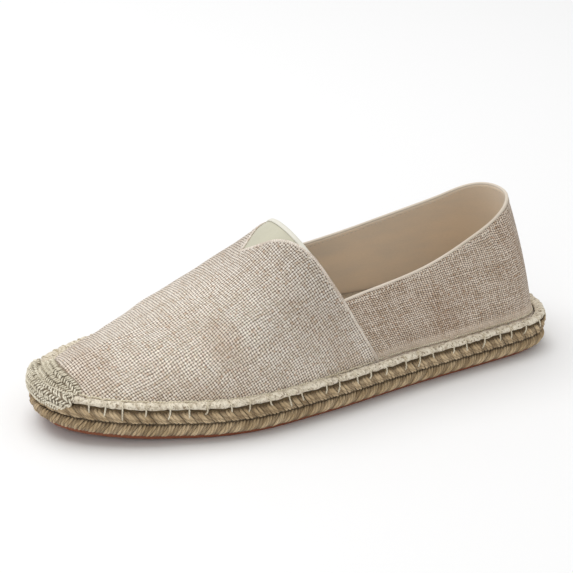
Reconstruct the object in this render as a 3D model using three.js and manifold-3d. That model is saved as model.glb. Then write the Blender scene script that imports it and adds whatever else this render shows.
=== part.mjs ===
// A left espadrille: a linen slip-on upper hand-sewn to a sole of braided jute with a thin rubber
// outsole. Sizes are in millimetres. +X points to the toe, +Y to the shoe's outer side and +Z up. The
// origin is on the floor, under the middle of the jute sole's outline.
import * as THREE from "three";
import { mergeVertices } from "three/addons/utils/BufferGeometryUtils.js";
import Module from "manifold-3d";

const wasm = await Module();
wasm.setup();

// Driving dimensions of the sole
const SOLE_LENGTH = 269.5;
const BALL_WIDTH = 98;
const HEEL_ROUND_LENGTH = 21.6;
const HEEL_ROUNDNESS = 2.85;
const TOE_ROUND_LENGTH = 60;
const TOE_ROUNDNESS = 2.2;
const TOE_SPRING = 5.5;
const SPRING_START = 0.647; // share of the length, from the heel, where the toe begins to lift
const RUBBER_THICKNESS = 2.5;
const RUBBER_INSET = 4.5;
const RUBBER_EDGE_ROUND = 0.8;
const JUTE_THICKNESS = 13.6;
const BRAID_BULGE = 2.4; // how far the two courses of the braid stand out from the groove between them
const STRAND_PITCH = 6.6;
const STRAND_RELIEF = 0.7;
const STRAND_LEAN = 4.2; // how far a strand travels along the edge between the groove and the sole's face
const INSOLE_THICKNESS = 2.5;

// Driving dimensions of the upper
const INSTEP_HEIGHT = 82;
const HEEL_HEIGHT = 77.8;
const CLOTH_WALL = 1.8; // linen and its lining
const VAMP_STEP = 0.8; // the vamp lies this far outside the quarter
const SEAM_OVERLAP = 9; // how far the quarter runs on under the vamp
const SEAM_FOOT = 0.4045; // share of the length where the side seam meets the sole
const THROAT_STATION = 0.537; // share of the length where the throat crosses the instep
const FLANGE_THICKNESS = 1.2; // the cloth turned out flat on the sole
const FLARE_RADIUS = 2.2;
const HEM_WIDTH = 3.5; // the rolled hem along the edge
const HEM_HEIGHT = 2.9;
const HEM_SETBACK = 0.3; // from the braid's outer face
const NOTCH_LENGTH = 17.5;
const NOTCH_HALF_WIDTH = 16.4; // at the throat
const NOTCH_SHIFT = 6.4; // of the notch's tip towards the inner side
const NOTCH_CORNER_DROP = 4; // the throat's edge lies this far back at the notch's corners
const ELASTIC_THICKNESS = 1.0;
const ELASTIC_RECESS = 0.4; // below the linen's outer face
const COLLAR_ROLL = 0.45; // how far the turned edge stands proud of the wall on each face

// Driving dimensions of the stitched toe
const GUARD_SEAT = 0.6; // from the hem and the vamp, whose hollows the stitches bridge
const GUARD_THICKNESS = 0.7;
const GUARD_RIB = 0.4;
const GUARD_REACH = 24; // along the edge from the toe's tip to either side
const GUARD_FOOT = 0.7; // share of the reach that is left at the stitches' lower edge
const GUARD_RISE = 6.9; // up the vamp at the toe's tip, above the sole
const GUARD_ROUNDNESS = 0.75; // of the stitches' upper edge, where 0.5 is an ellipse
const GUARD_HEM_ROWS = 4;
const GUARD_VAMP_ROWS = 5;
const GUARD_LAST_STEP = 0.8; // what is left of the stitches' rise where they end on the hem
const GUARD_DROP = 4.5; // how far the stitches reach down the braid

// Clearance between pieces that lie on each other
const SEAT_GAP = 0.3;

// How finely the forms are cut into flat faces
const VAMP_COLUMNS = 24;
const QUARTER_COLUMNS = 18;
const WALL_ROWS = 8;
const HEM_SIDES = 8;
const HEM_START = Math.PI * 1.12; // turn round the hem's section where the flat of the flange meets it
const HEM_END = -Math.PI / 2;
const PLAIN_COLUMNS = 32;
const GUARD_COLUMNS = 14;
const OUTLINE_SAMPLES = 720;

// The sole's outline. at: share of SOLE_LENGTH from the heel; centre and half: shares of BALL_WIDTH.
const SOLE_PLAN = [
  { at: 0.0, centre: 0.031, half: 0.344 },
  { at: 0.106, centre: 0.031, half: 0.38 },
  { at: 0.335, centre: 0.025, half: 0.423 },
  { at: 0.48, centre: 0.031, half: 0.456 },
  { at: 0.584, centre: 0.022, half: 0.482 },
  { at: 0.657, centre: 0.013, half: 0.493 },
  { at: 0.74, centre: -0.007, half: 0.476 },
  { at: 0.823, centre: -0.026, half: 0.425 },
  { at: 1.0, centre: -0.035, half: 0.355 },
];

// The last. at: way round the edge, 0 at the toe's tip, 1 at the side seam, 2 at the back of the heel.
// spine: where the section's top lies, as a share of SOLE_LENGTH; height: its height, as a share of
// INSTEP_HEIGHT. ledge: from the braid's face to the wall's foot, as a share of BALL_WIDTH. side and
// top: how full the section is at its side and top, 1 for an ellipse and less for a fuller one. upright:
// 1 where the section leans evenly with its height, 0 where it follows the curve of its plan.
const LAST = [
  { at: 0.0, spine: 0.842, height: 0.468, ledge: 0.05, side: 1.1, top: 0.95, upright: 0 },
  { at: 0.12, spine: 0.8025, height: 0.503, ledge: 0.05, side: 1.05, top: 0.95, upright: 0 },
  { at: 0.3, spine: 0.7267, height: 0.605, ledge: 0.05, side: 1.01, top: 0.94, upright: 0.1 },
  { at: 0.5, spine: 0.6602, height: 0.727, ledge: 0.05, side: 0.98, top: 0.93, upright: 0.5 },
  { at: 0.75, spine: 0.5967, height: 0.86, ledge: 0.05, side: 0.92, top: 0.92, upright: 0.9 },
  { at: 1.0, spine: THROAT_STATION, height: 1.0, ledge: 0.066, side: 0.93, top: 0.86, upright: 1 },
  { at: 1.33, spine: 0.38, height: 1.122, ledge: 0.058, side: 0.855, top: 0.89, upright: 0.7 },
  { at: 1.66, spine: 0.222, height: 1.167, ledge: 0.063, side: 1.09, top: 0.957, upright: 0.5 },
  { at: 2.0, spine: 0.1136, height: 1.2365, ledge: 0.055, side: 0.97, top: 0.916, upright: 0.5 },
];
const SLOPE_STEP = 0.04; // how far to either side the ridge's slope is taken, as a way round the edge

// The collar's edge. at: way round from the side seam, 0, to the back of the heel, 1; height: share of
// HEEL_HEIGHT.
const COLLAR = [
  { at: -0.2, height: 0.63 },
  { at: 0.0, height: 0.665 },
  { at: 0.3, height: 0.744 },
  { at: 0.6, height: 0.874 },
  { at: 0.85, height: 0.984 },
  { at: 1.0, height: 1.0 },
];

// The braid's side. out: share of BRAID_BULGE behind the outer face; up: share of JUTE_THICKNESS;
// relief: share of STRAND_RELIEF; lean: share of STRAND_LEAN along the edge.
const BRAID_SIDE = [
  { out: 1.25, up: 0.0, relief: 0.0, lean: 1.0 },
  { out: 0.3, up: 0.14, relief: 0.9, lean: 0.62 },
  { out: 0.0, up: 0.29, relief: 1.0, lean: 0.3 },
  { out: 1.0, up: 0.5, relief: 0.3, lean: 0.0 },
  { out: 0.0, up: 0.71, relief: 1.0, lean: 0.3 },
  { out: 0.3, up: 0.86, relief: 0.9, lean: 0.62 },
  { out: 1.25, up: 1.0, relief: 0.0, lean: 1.0 },
];

// Smooth value of one column of a table at a station, with the slope at each row taken from its
// neighbours and level at both ends, so that what meets its mirror image there runs on without a corner.
function fromTable(rows, column, at) {
  const last = rows.length - 1;
  let k = 0;
  while (k < last - 1 && at > rows[k + 1].at) k += 1;
  const slope = (i) => {
    if (i === 0 || i === last) return 0;
    const before = rows[Math.max(i - 1, 0)];
    const after = rows[Math.min(i + 1, last)];
    return (after[column] - before[column]) / (after.at - before.at);
  };
  const span = rows[k + 1].at - rows[k].at;
  const t = Math.min(Math.max((at - rows[k].at) / span, 0), 1);
  const t2 = t * t;
  const t3 = t2 * t;
  return (
    (2 * t3 - 3 * t2 + 1) * rows[k][column] +
    (t3 - 2 * t2 + t) * span * slope(k) +
    (3 * t2 - 2 * t3) * rows[k + 1][column] +
    (t3 - t2) * span * slope(k + 1)
  );
}

// Share of the half width that the round heel and the round toe leave at a station.
function endRounding(at) {
  const heel = Math.max(0, 1 - (at * SOLE_LENGTH) / HEEL_ROUND_LENGTH);
  const toe = Math.max(0, 1 - ((1 - at) * SOLE_LENGTH) / TOE_ROUND_LENGTH);
  const heelShare = (1 - heel ** HEEL_ROUNDNESS) ** (1 / HEEL_ROUNDNESS);
  const toeShare = (1 - toe ** TOE_ROUNDNESS) ** (1 / TOE_ROUNDNESS);
  return heelShare * toeShare;
}

// The outline without the stitches that stand out at the toe, so that SOLE_LENGTH is the whole length.
const OUTLINE_LENGTH = SOLE_LENGTH - GUARD_SEAT - GUARD_THICKNESS - GUARD_RIB;

// A station's distance from the middle of the shoe's length.
function stationX(at) {
  return at * OUTLINE_LENGTH - SOLE_LENGTH / 2;
}

// The widest place of each side, halfway between which the origin lies.
function widest(side) {
  let most = 0;
  for (let i = 0; i <= OUTLINE_SAMPLES; i += 1) {
    const at = i / OUTLINE_SAMPLES;
    const half = fromTable(SOLE_PLAN, "half", at) * endRounding(at);
    most = Math.max(most, half + side * fromTable(SOLE_PLAN, "centre", at));
  }
  return most;
}
const BALANCE = (widest(1) - widest(-1)) / 2;

// A station's middle, to the outer side.
function middleY(at) {
  return (fromTable(SOLE_PLAN, "centre", at) - BALANCE) * BALL_WIDTH;
}

// One side of the outline, from the toe's tip to the back of the heel, with the length travelled at each
// sample.
function traceSide(side) {
  const samples = [];
  let travelled = 0;
  for (let i = 0; i <= OUTLINE_SAMPLES; i += 1) {
    const at = (1 + Math.cos((Math.PI * i) / OUTLINE_SAMPLES)) / 2;
    const half = fromTable(SOLE_PLAN, "half", at) * endRounding(at);
    const point = new THREE.Vector2(stationX(at), middleY(at) + side * half * BALL_WIDTH);
    if (i > 0) travelled += point.distanceTo(samples[i - 1].point);
    samples.push({ at, point, travelled });
  }
  const seam = samples.find((sample) => sample.at <= SEAM_FOOT);
  return { side, samples, length: travelled, seamTravel: seam.travelled };
}

const OUTER_SIDE = traceSide(1);
const INNER_SIDE = traceSide(-1);

// The outline's point and outward normal after a length travelled from the toe's tip along one side.
function outlineAt(trace, travel) {
  const { samples } = trace;
  let k = 0;
  while (k < samples.length - 2 && samples[k + 1].travelled < travel) k += 1;
  const from = samples[k];
  const to = samples[k + 1];
  const t = Math.min(Math.max((travel - from.travelled) / (to.travelled - from.travelled), 0), 1);
  const before = samples[Math.max(k - 3, 0)].point;
  const after = samples[Math.min(k + 4, samples.length - 1)].point;
  const tangent = after.clone().sub(before).normalize();
  const normal = new THREE.Vector2(tangent.y, -tangent.x).multiplyScalar(trace.side);
  return { point: from.point.clone().lerp(to.point, t), normal, at: from.at + (to.at - from.at) * t };
}

// How far the sole is lifted off the floor at a distance from its middle.
function springAt(x) {
  const start = (SPRING_START - 0.5) * SOLE_LENGTH;
  const reach = (1 - SPRING_START) * SOLE_LENGTH;
  return TOE_SPRING * Math.max(0, (x - start) / reach) ** 2;
}

const JUTE_BOTTOM = RUBBER_THICKNESS + SEAT_GAP;
const JUTE_TOP = JUTE_BOTTOM + JUTE_THICKNESS;
const DECK = JUTE_TOP + SEAT_GAP; // what lies on the jute starts here

// Way round the edge, as in the table of the last, turned into a length travelled along one side.
function travelOf(trace, way) {
  return way <= 1
    ? way * trace.seamTravel
    : trace.seamTravel + (way - 1) * (trace.length - trace.seamTravel);
}

// The foot of a column of the upper, and the spine point that it rises to, a given depth inside the
// vamp's face. ramp: how steeply the section still rises where it reaches the spine, so that it runs on
// smoothly over the ridge.
function columnOf(trace, way, depth) {
  const { point, normal } = outlineAt(trace, travelOf(trace, way));
  const ledge = fromTable(LAST, "ledge", way) * BALL_WIDTH;
  const foot = point.clone().addScaledVector(normal, -(ledge + depth));
  const spineAt = fromTable(LAST, "spine", way);
  const spine = new THREE.Vector2(stationX(spineAt), middleY(spineAt));
  const footHeight = DECK + springAt(foot.x);
  const spineHeight = fromTable(LAST, "height", way) * INSTEP_HEIGHT - depth;
  const upright = fromTable(LAST, "upright", way);
  const slope = way < 1 ? ridgeSlope(way) * ((foot.x - spine.x) / (spineHeight - footHeight)) : 0;
  return {
    point,
    normal,
    foot,
    spine,
    footHeight,
    spineHeight,
    side: fromTable(LAST, "side", way),
    top: fromTable(LAST, "top", way),
    upright,
    ramp: (slope * (1 - upright)) / (1 - slope * upright),
  };
}

// How steeply the ridge of the vamp climbs from the toe to the instep.
function ridgeSlope(way) {
  const from = Math.max(way - SLOPE_STEP, 0);
  const to = Math.min(way + SLOPE_STEP, 1);
  const climb = (fromTable(LAST, "height", to) - fromTable(LAST, "height", from)) * INSTEP_HEIGHT;
  const back = (fromTable(LAST, "spine", from) - fromTable(LAST, "spine", to)) * OUTLINE_LENGTH;
  return climb / back;
}

// A point of the upper at an angle that runs from 0 at the foot to a quarter turn at the spine.
function columnPoint(column, angle) {
  const inward = angle >= Math.PI / 2 ? 1 : 1 - Math.cos(angle) ** column.side;
  const arch = Math.sin(angle) ** column.top;
  const upward = arch + (inward - arch) * column.ramp;
  const forward = inward + (upward - inward) * column.upright;
  const z = column.footHeight + (column.spineHeight - column.footHeight) * upward;
  const low = Math.max(0, 1 - (z - column.footHeight) / (FLANGE_THICKNESS + FLARE_RADIUS));
  const flare = FLARE_RADIUS * (1 - Math.sqrt(Math.max(0, 1 - low * low)));
  return new THREE.Vector3(
    column.foot.x + (column.spine.x - column.foot.x) * forward + column.normal.x * flare,
    column.foot.y + (column.spine.y - column.foot.y) * inward + column.normal.y * flare,
    z,
  );
}

// The angle at which a column reaches a height, found by halving the range that holds it.
function angleAtHeight(column, height) {
  let low = 0;
  let high = Math.PI / 2;
  for (let k = 0; k < 30; k += 1) {
    const middle = (low + high) / 2;
    if (columnPoint(column, middle).z < height) low = middle;
    else high = middle;
  }
  return high;
}

// Two triangles between four corners.
function addQuad(corners, a, b, c, d) {
  corners.push(a, b, c, a, c, d);
}

// A closed solid from loose triangles, turned so that its faces point out.
function solidFrom(corners) {
  const places = new Float32Array(corners.length * 3);
  corners.forEach((corner, i) => corner.toArray(places, i * 3));
  const loose = new THREE.BufferGeometry();
  loose.setAttribute("position", new THREE.BufferAttribute(places, 3));
  const merged = mergeVertices(loose, 1e-3);
  const index = merged.index.array;
  const kept = [];
  for (let i = 0; i < index.length; i += 3) {
    const [a, b, c] = [index[i], index[i + 1], index[i + 2]];
    if (a !== b && b !== c && c !== a) kept.push(a, b, c);
  }
  const vertProperties = merged.getAttribute("position").array;
  const build = (triVerts) => new wasm.Manifold(new wasm.Mesh({ numProp: 3, vertProperties, triVerts }));
  const solid = build(new Uint32Array(kept));
  if (solid.volume() > 0) return solid;
  for (let i = 0; i < kept.length; i += 3) [kept[i], kept[i + 1]] = [kept[i + 1], kept[i]];
  return build(new Uint32Array(kept));
}

// A solid from columns that run round a closed ring, each an open line of points between two spines.
// The columns of the ring's two halves end on the same spine points, which closes the solid.
function ringSolid(columns) {
  const corners = [];
  for (let i = 0; i < columns.length; i += 1) {
    const here = columns[i];
    const next = columns[(i + 1) % columns.length];
    for (let j = 0; j + 1 < here.length; j += 1) {
      addQuad(corners, here[j], next[j], next[j + 1], here[j + 1]);
    }
  }
  return solidFrom(corners);
}

// A solid from columns that run round a closed ring, each a closed loop of points.
function hoopSolid(loops) {
  return ringSolid(loops.map((loop) => [...loop, loop[0]]));
}

// A solid between an outer and an inner sheet, each a list of columns with the same number of points.
// edges says which of the sheets' borders are free and get a wall: the first column, the last, the feet
// and the tops.
function sheetSolid(outer, inner, edges) {
  const corners = [];
  const rows = outer[0].length;
  for (let i = 0; i + 1 < outer.length; i += 1) {
    for (let j = 0; j + 1 < rows; j += 1) {
      addQuad(corners, outer[i][j], outer[i + 1][j], outer[i + 1][j + 1], outer[i][j + 1]);
      addQuad(corners, inner[i][j], inner[i][j + 1], inner[i + 1][j + 1], inner[i + 1][j]);
    }
    addQuad(corners, outer[i][0], inner[i][0], inner[i + 1][0], outer[i + 1][0]);
    if (edges.tops) {
      const top = rows - 1;
      addQuad(corners, outer[i][top], outer[i + 1][top], inner[i + 1][top], inner[i][top]);
    }
  }
  for (const [i, turned] of [[0, false], [outer.length - 1, true]]) {
    for (let j = 0; j + 1 < rows; j += 1) {
      const ends = [outer[i][j], outer[i][j + 1], inner[i][j + 1], inner[i][j]];
      addQuad(corners, ...(turned ? ends.reverse() : ends));
    }
  }
  return solidFrom(corners);
}

// Ways round the edge for a run of columns, on the outer side from high to low and back up the inner
// side.
function waysThroughToe(count, reach) {
  const ways = [];
  for (let i = -count; i <= count; i += 1) {
    ways.push({ trace: i < 0 ? OUTER_SIDE : INNER_SIDE, way: (Math.abs(i) / count) * reach });
  }
  return ways;
}

function waysThroughHeel(count, start) {
  const ways = [];
  for (let i = -count; i <= count; i += 1) {
    ways.push({
      trace: i < 0 ? OUTER_SIDE : INNER_SIDE,
      way: 2 - (Math.abs(i) / count) * (2 - start),
    });
  }
  return ways;
}

// A station drawn in from both ends by half of the ball's width, from where a flat face fans out round
// each end.
function withinEnds(at) {
  const end = BALL_WIDTH / SOLE_LENGTH / 2;
  return THREE.MathUtils.clamp(at, end, 1 - end);
}

// One full turn of columns round the sole, evenly spaced, with the point on the centre line that each
// closes to.
function soleColumns(count) {
  const ring = [];
  for (let i = 0; i < 2 * count; i += 1) {
    const trace = i <= count ? OUTER_SIDE : INNER_SIDE;
    const step = i <= count ? i : 2 * count - i;
    const paired = [OUTER_SIDE, INNER_SIDE].map((each) => outlineAt(each, (step / count) * each.length));
    const spineAt = withinEnds((paired[0].at + paired[1].at) / 2);
    ring.push({
      trace,
      travel: (step / count) * trace.length,
      spine: new THREE.Vector2(stationX(spineAt), middleY(spineAt)),
      ...paired[i <= count ? 0 : 1],
    });
  }
  return ring;
}

// A point that lies a distance outside the outline and a height above the floor, lifted by the toe
// spring.
function besideOutline({ point, normal }, out, height) {
  const x = point.x + normal.x * out;
  return new THREE.Vector3(x, point.y + normal.y * out, height + springAt(x));
}

function onSpine(column, height) {
  return new THREE.Vector3(column.spine.x, column.spine.y, height + springAt(column.spine.x));
}

// The rubber outsole: a thin sheet with a rounded lower edge, set in from the braid.
function makeOutsole() {
  const columns = soleColumns(PLAIN_COLUMNS).map((column) => [
    onSpine(column, 0),
    besideOutline(column, -(RUBBER_INSET + RUBBER_EDGE_ROUND), 0),
    besideOutline(column, -RUBBER_INSET, RUBBER_EDGE_ROUND),
    besideOutline(column, -RUBBER_INSET, RUBBER_THICKNESS),
    onSpine(column, RUBBER_THICKNESS),
  ]);
  return ringSolid(columns);
}

// The jute sole: two courses of braid stand out from its side, and their strands lean away from the
// groove.
function makeJuteSole() {
  const edge = OUTER_SIDE.length + INNER_SIDE.length;
  const strands = Math.round(edge / STRAND_PITCH / 2) * 2;
  const columns = soleColumns(strands).map((column, i) => {
    const strand = i % 2 === 0 ? 0 : 1;
    const side = BRAID_SIDE.map((row) => {
      const atEnd = column.travel <= 0 || column.travel >= column.trace.length;
      const way = column.trace.side * (atEnd ? 0 : 1);
      const leant = column.travel + way * row.lean * STRAND_LEAN;
      const place = outlineAt(column.trace, THREE.MathUtils.clamp(leant, 0, column.trace.length));
      const out = -row.out * BRAID_BULGE - (1 - strand) * row.relief * STRAND_RELIEF;
      return besideOutline(place, out, JUTE_BOTTOM + row.up * JUTE_THICKNESS);
    });
    return [onSpine(column, JUTE_BOTTOM), ...side, onSpine(column, JUTE_TOP)];
  });
  return ringSolid(columns);
}

// The insole: a thin sheet on the jute that reaches to the upper's inner face at its own top.
function makeInsole() {
  const columns = waysRound(PLAIN_COLUMNS).map(({ trace, way }) => {
    const column = columnOf(trace, way, VAMP_STEP + CLOTH_WALL + 2 * SEAT_GAP);
    const edge = columnPoint(column, angleAtHeight(column, column.footHeight + INSOLE_THICKNESS + SEAT_GAP));
    const spineAt = withinEnds(fromTable(LAST, "spine", way));
    const spine = new THREE.Vector2(stationX(spineAt), middleY(spineAt));
    const place = (at, height) => new THREE.Vector3(at.x, at.y, DECK + height + springAt(at.x));
    return [
      place(spine, 0),
      place(edge, 0),
      place(edge, INSOLE_THICKNESS),
      place(spine, INSOLE_THICKNESS),
    ];
  });
  return ringSolid(columns);
}

// Ways round the whole edge, out along the outer side from the toe and back along the inner side.
function waysRound(count) {
  const ring = [];
  for (let i = 0; i < 2 * count; i += 1) {
    const trace = i <= count ? OUTER_SIDE : INNER_SIDE;
    ring.push({ trace, way: (i <= count ? i : 2 * count - i) / count * 2 });
  }
  return ring;
}

// The vamp's wall between two depths, from the throat on one side round the toe to the other side.
function vampWall(outerDepth, innerDepth) {
  const sheet = (depth) =>
    waysThroughToe(VAMP_COLUMNS, 1).map(({ trace, way }) => {
      const column = columnOf(trace, way, depth);
      return Array.from({ length: WALL_ROWS + 1 }, (_, j) =>
        columnPoint(column, wallAngle(column, Math.PI / 2, j)),
      );
    });
  return sheetSolid(sheet(outerDepth), sheet(innerDepth), { tops: false });
}

// The angle of a row of a wall that starts inside the flange and ends at a top angle, closer together
// near the foot.
function wallAngle(column, topAngle, row) {
  const start = angleAtHeight(column, column.footHeight + FLANGE_THICKNESS / 3);
  const share = (row / WALL_ROWS) ** 1.25;
  return start + (topAngle - start) * share;
}

// The quarter's wall, from under the vamp on one side round the heel, up to the collar, with its turned
// edge.
function makeQuarter() {
  const start = 1 - SEAM_OVERLAP / OUTER_SIDE.seamTravel;
  const sheet = (depth, roll) =>
    waysThroughHeel(QUARTER_COLUMNS, start).map(({ trace, way }) => {
      const column = columnOf(trace, way, depth);
      const height = fromTable(COLLAR, "height", way - 1) * HEEL_HEIGHT;
      const points = [];
      const top = angleAtHeight(column, height - 2 * HEM_SETBACK - COLLAR_ROLL);
      for (let j = 0; j <= WALL_ROWS; j += 1) points.push(columnPoint(column, wallAngle(column, top, j)));
      const rolled = columnOf(trace, way, depth + roll);
      points.push(columnPoint(rolled, angleAtHeight(rolled, height - COLLAR_ROLL)));
      points.push(columnPoint(column, angleAtHeight(column, height)));
      return points;
    });
  return sheetSolid(
    sheet(VAMP_STEP, -COLLAR_ROLL),
    sheet(VAMP_STEP + CLOTH_WALL, COLLAR_ROLL),
    { tops: true },
  );
}

// The hem: the cloth's edge turned out on the sole and rolled, all the way round.
function makeHem() {
  const loops = waysRound(VAMP_COLUMNS + QUARTER_COLUMNS).map(({ trace, way }) => {
    const column = columnOf(trace, way, 0);
    const inner = -(fromTable(LAST, "ledge", way) * BALL_WIDTH + VAMP_STEP + CLOTH_WALL + SEAT_GAP);
    const points = [
      besideOutline(column, inner, DECK),
      besideOutline(column, inner, DECK + FLANGE_THICKNESS),
    ];
    for (let k = 0; k <= HEM_SIDES; k += 1) {
      const turn = HEM_START + ((HEM_END - HEM_START) * k) / HEM_SIDES;
      points.push(besideHem(column, turn, 0));
    }
    return points;
  });
  return hoopSolid(loops);
}

// A point on the rolled hem at a turn round its section, a distance outside its face.
function besideHem(column, turn, proud) {
  const middle = -(HEM_SETBACK + HEM_WIDTH / 2);
  return besideOutline(
    column,
    middle + (HEM_WIDTH / 2 + proud) * Math.cos(turn),
    DECK + HEM_HEIGHT / 2 + (HEM_HEIGHT / 2 + proud) * Math.sin(turn),
  );
}

// A wedge over the instep whose point is at the notch's tip, drawn in by a margin on both flanks.
// Behind the throat it runs straight back, through the open collar.
function notchWedge(margin) {
  const throatX = stationX(THROAT_STATION);
  const tipX = throatX + NOTCH_LENGTH;
  const tipY = middleY(THROAT_STATION) - NOTCH_SHIFT;
  const outerSlope = (NOTCH_HALF_WIDTH + NOTCH_SHIFT) / NOTCH_LENGTH;
  const innerSlope = (NOTCH_HALF_WIDTH - NOTCH_SHIFT) / NOTCH_LENGTH;
  const outerMargin = margin * Math.hypot(1, outerSlope);
  const innerMargin = margin * Math.hypot(1, innerSlope);
  const outerY = (x) => tipY + outerSlope * (tipX - x) - outerMargin;
  const innerY = (x) => tipY - innerSlope * (tipX - x) + innerMargin;
  const point = tipX - (outerMargin + innerMargin) / (outerSlope + innerSlope);
  const corner = throatX - NOTCH_CORNER_DROP;
  const outline = new THREE.Shape([
    new THREE.Vector2(point, outerY(point)),
    new THREE.Vector2(corner, outerY(corner)),
    new THREE.Vector2(corner - NOTCH_LENGTH, outerY(corner)),
    new THREE.Vector2(corner - NOTCH_LENGTH, innerY(corner)),
    new THREE.Vector2(corner, innerY(corner)),
  ]);
  const wedge = new THREE.ExtrudeGeometry(outline, { depth: INSTEP_HEIGHT, bevelEnabled: false });
  wedge.translate(0, 0, INSTEP_HEIGHT / 2);
  return solidOfGeometry(wedge);
}

// A three.js geometry as a solid.
function solidOfGeometry(geometry) {
  const loose = geometry.index ? geometry.toNonIndexed() : geometry;
  const place = loose.getAttribute("position");
  const corners = [];
  for (let i = 0; i < place.count; i += 1) corners.push(new THREE.Vector3().fromBufferAttribute(place, i));
  return solidFrom(corners);
}

// The whole upper: vamp, quarter and hem as one cloth, with the notch for the elastic cut out of the
// throat.
function makeUpper() {
  return vampWall(0, VAMP_STEP + CLOTH_WALL)
    .add(makeQuarter())
    .add(makeHem())
    .subtract(notchWedge(0));
}

// The elastic gore: a thinner piece of the vamp's own form that fills the notch.
function makeElasticGore() {
  return vampWall(ELASTIC_RECESS, ELASTIC_RECESS + ELASTIC_THICKNESS).intersect(notchWedge(SEAT_GAP));
}

// The stitched toe: rows of thread that run round the toe, from the braid over the hem and up on the
// vamp.
function makeToeGuard() {
  const reach = GUARD_REACH / OUTER_SIDE.seamTravel;
  const sheet = (lift) =>
    waysThroughToe(GUARD_COLUMNS, reach).map(({ trace, way }) => guardLine(trace, way, way / reach, lift));
  return sheetSolid(sheet(GUARD_THICKNESS), sheet(0), { tops: true });
}

// One line of the stitched toe, a lift above what it covers. Every second point is raised as a rib.
// The line is highest at the toe's tip and ends on the hem where its share of the reach is 1.
function guardLine(trace, way, share, lift) {
  const column = columnOf(trace, way, -(GUARD_SEAT + lift));
  const proud = (k) => GUARD_SEAT + lift + (lift > 0 && k % 2 === 0 ? GUARD_RIB : 0);
  const drawnIn = (foot) => outlineAt(trace, travelOf(trace, way * foot));
  const points = [
    besideOutline(drawnIn(GUARD_FOOT), proud(1), DECK - GUARD_DROP),
    besideOutline(drawnIn((1 + GUARD_FOOT) / 2), proud(2), DECK - GUARD_DROP / 2),
  ];
  for (let k = 0; k <= GUARD_HEM_ROWS; k += 1) {
    points.push(besideHem(column, (Math.PI * 0.8 * k) / GUARD_HEM_ROWS, proud(k + 1)));
  }
  const low = HEM_HEIGHT + SEAT_GAP;
  const rise = low + (GUARD_RISE - low) * (1 - share * share) ** GUARD_ROUNDNESS;
  const start = angleAtHeight(column, column.footHeight + low);
  const end = angleAtHeight(column, column.footHeight + rise + GUARD_LAST_STEP);
  for (let k = 1; k <= GUARD_VAMP_ROWS; k += 1) {
    const ribbed = columnOf(trace, way, -proud(k));
    points.push(columnPoint(ribbed, start + ((end - start) * k) / GUARD_VAMP_ROWS));
  }
  return points;
}

// A named mesh in its own colour.
function piece(name, solid, look) {
  const { vertProperties, triVerts } = solid.getMesh();
  const geometry = new THREE.BufferGeometry();
  geometry.setAttribute("position", new THREE.BufferAttribute(new Float32Array(vertProperties), 3));
  geometry.setIndex(new THREE.BufferAttribute(new Uint32Array(triVerts), 1));
  geometry.computeVertexNormals();
  const mesh = new THREE.Mesh(geometry, new THREE.MeshStandardMaterial(look));
  mesh.name = name;
  return mesh;
}

const espadrille = new THREE.Group();
espadrille.add(
  piece("rubber_outsole", makeOutsole(), { color: 0x8a4a32, roughness: 0.7, metalness: 0 }),
  piece("jute_sole", makeJuteSole(), { color: 0xa8956c, roughness: 0.95, metalness: 0 }),
  piece("insole", makeInsole(), { color: 0xcfc3ad, roughness: 0.9, metalness: 0 }),
  piece("upper", makeUpper(), { color: 0xc9b8a4, roughness: 0.95, metalness: 0 }),
  piece("elastic_gore", makeElasticGore(), { color: 0xd9d6bf, roughness: 0.8, metalness: 0 }),
  piece("toe_stitching", makeToeGuard(), { color: 0xb5ae91, roughness: 0.95, metalness: 0 }),
);

export default espadrille;
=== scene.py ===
"""A left espadrille: undyed linen on a braided jute sole, with its thread, lining, elastic and rubber."""

import logging
import math
from dataclasses import dataclass
from enum import Enum
from functools import cached_property

import bmesh
import bpy
import numpy as np
from mathutils import Matrix, Vector, noise
from mathutils.bvhtree import BVHTree


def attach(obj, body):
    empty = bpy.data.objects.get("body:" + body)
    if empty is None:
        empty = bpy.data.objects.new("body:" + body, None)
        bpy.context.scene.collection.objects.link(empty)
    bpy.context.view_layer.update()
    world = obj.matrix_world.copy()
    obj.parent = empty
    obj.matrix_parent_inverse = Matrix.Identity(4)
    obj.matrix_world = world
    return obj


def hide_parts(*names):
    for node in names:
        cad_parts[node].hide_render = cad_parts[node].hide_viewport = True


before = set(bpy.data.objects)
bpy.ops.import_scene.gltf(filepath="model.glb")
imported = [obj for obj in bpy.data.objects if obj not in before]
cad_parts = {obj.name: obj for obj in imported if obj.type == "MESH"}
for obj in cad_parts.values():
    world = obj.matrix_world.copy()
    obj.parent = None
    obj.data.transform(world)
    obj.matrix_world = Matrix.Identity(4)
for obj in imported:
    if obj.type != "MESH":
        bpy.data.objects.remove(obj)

log = logging.getLogger("espadrille")

MM = 0.001
Array = np.ndarray
Colour = tuple[float, float, float, float]
Place = tuple[float, float, float]
Table = dict[str, tuple[float, ...]]

UV_UNIT = 100.0  # millimetres in one unit of a piece's own map
TINY = 1e-9

# Places inside the shoe that tell in from out, in millimetres.
VAMP_MIDDLE: Place = (40, 0, 20)
QUARTER_MIDDLE: Place = (-60, 0, 30)
TOE_MIDDLE: Place = (110, -3, 20)
UP = np.array([0, 0, 1.0])

# The sole's outline. at: share of the length from the heel; centre and half: shares of the ball's width.
SOLE_PLAN: Table = {
    "at": (0.0, 0.106, 0.335, 0.48, 0.584, 0.657, 0.74, 0.823, 1.0),
    "centre": (0.031, 0.031, 0.025, 0.031, 0.022, 0.013, -0.007, -0.026, -0.035),
    "half": (0.344, 0.38, 0.423, 0.456, 0.482, 0.493, 0.476, 0.425, 0.355),
}

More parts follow.
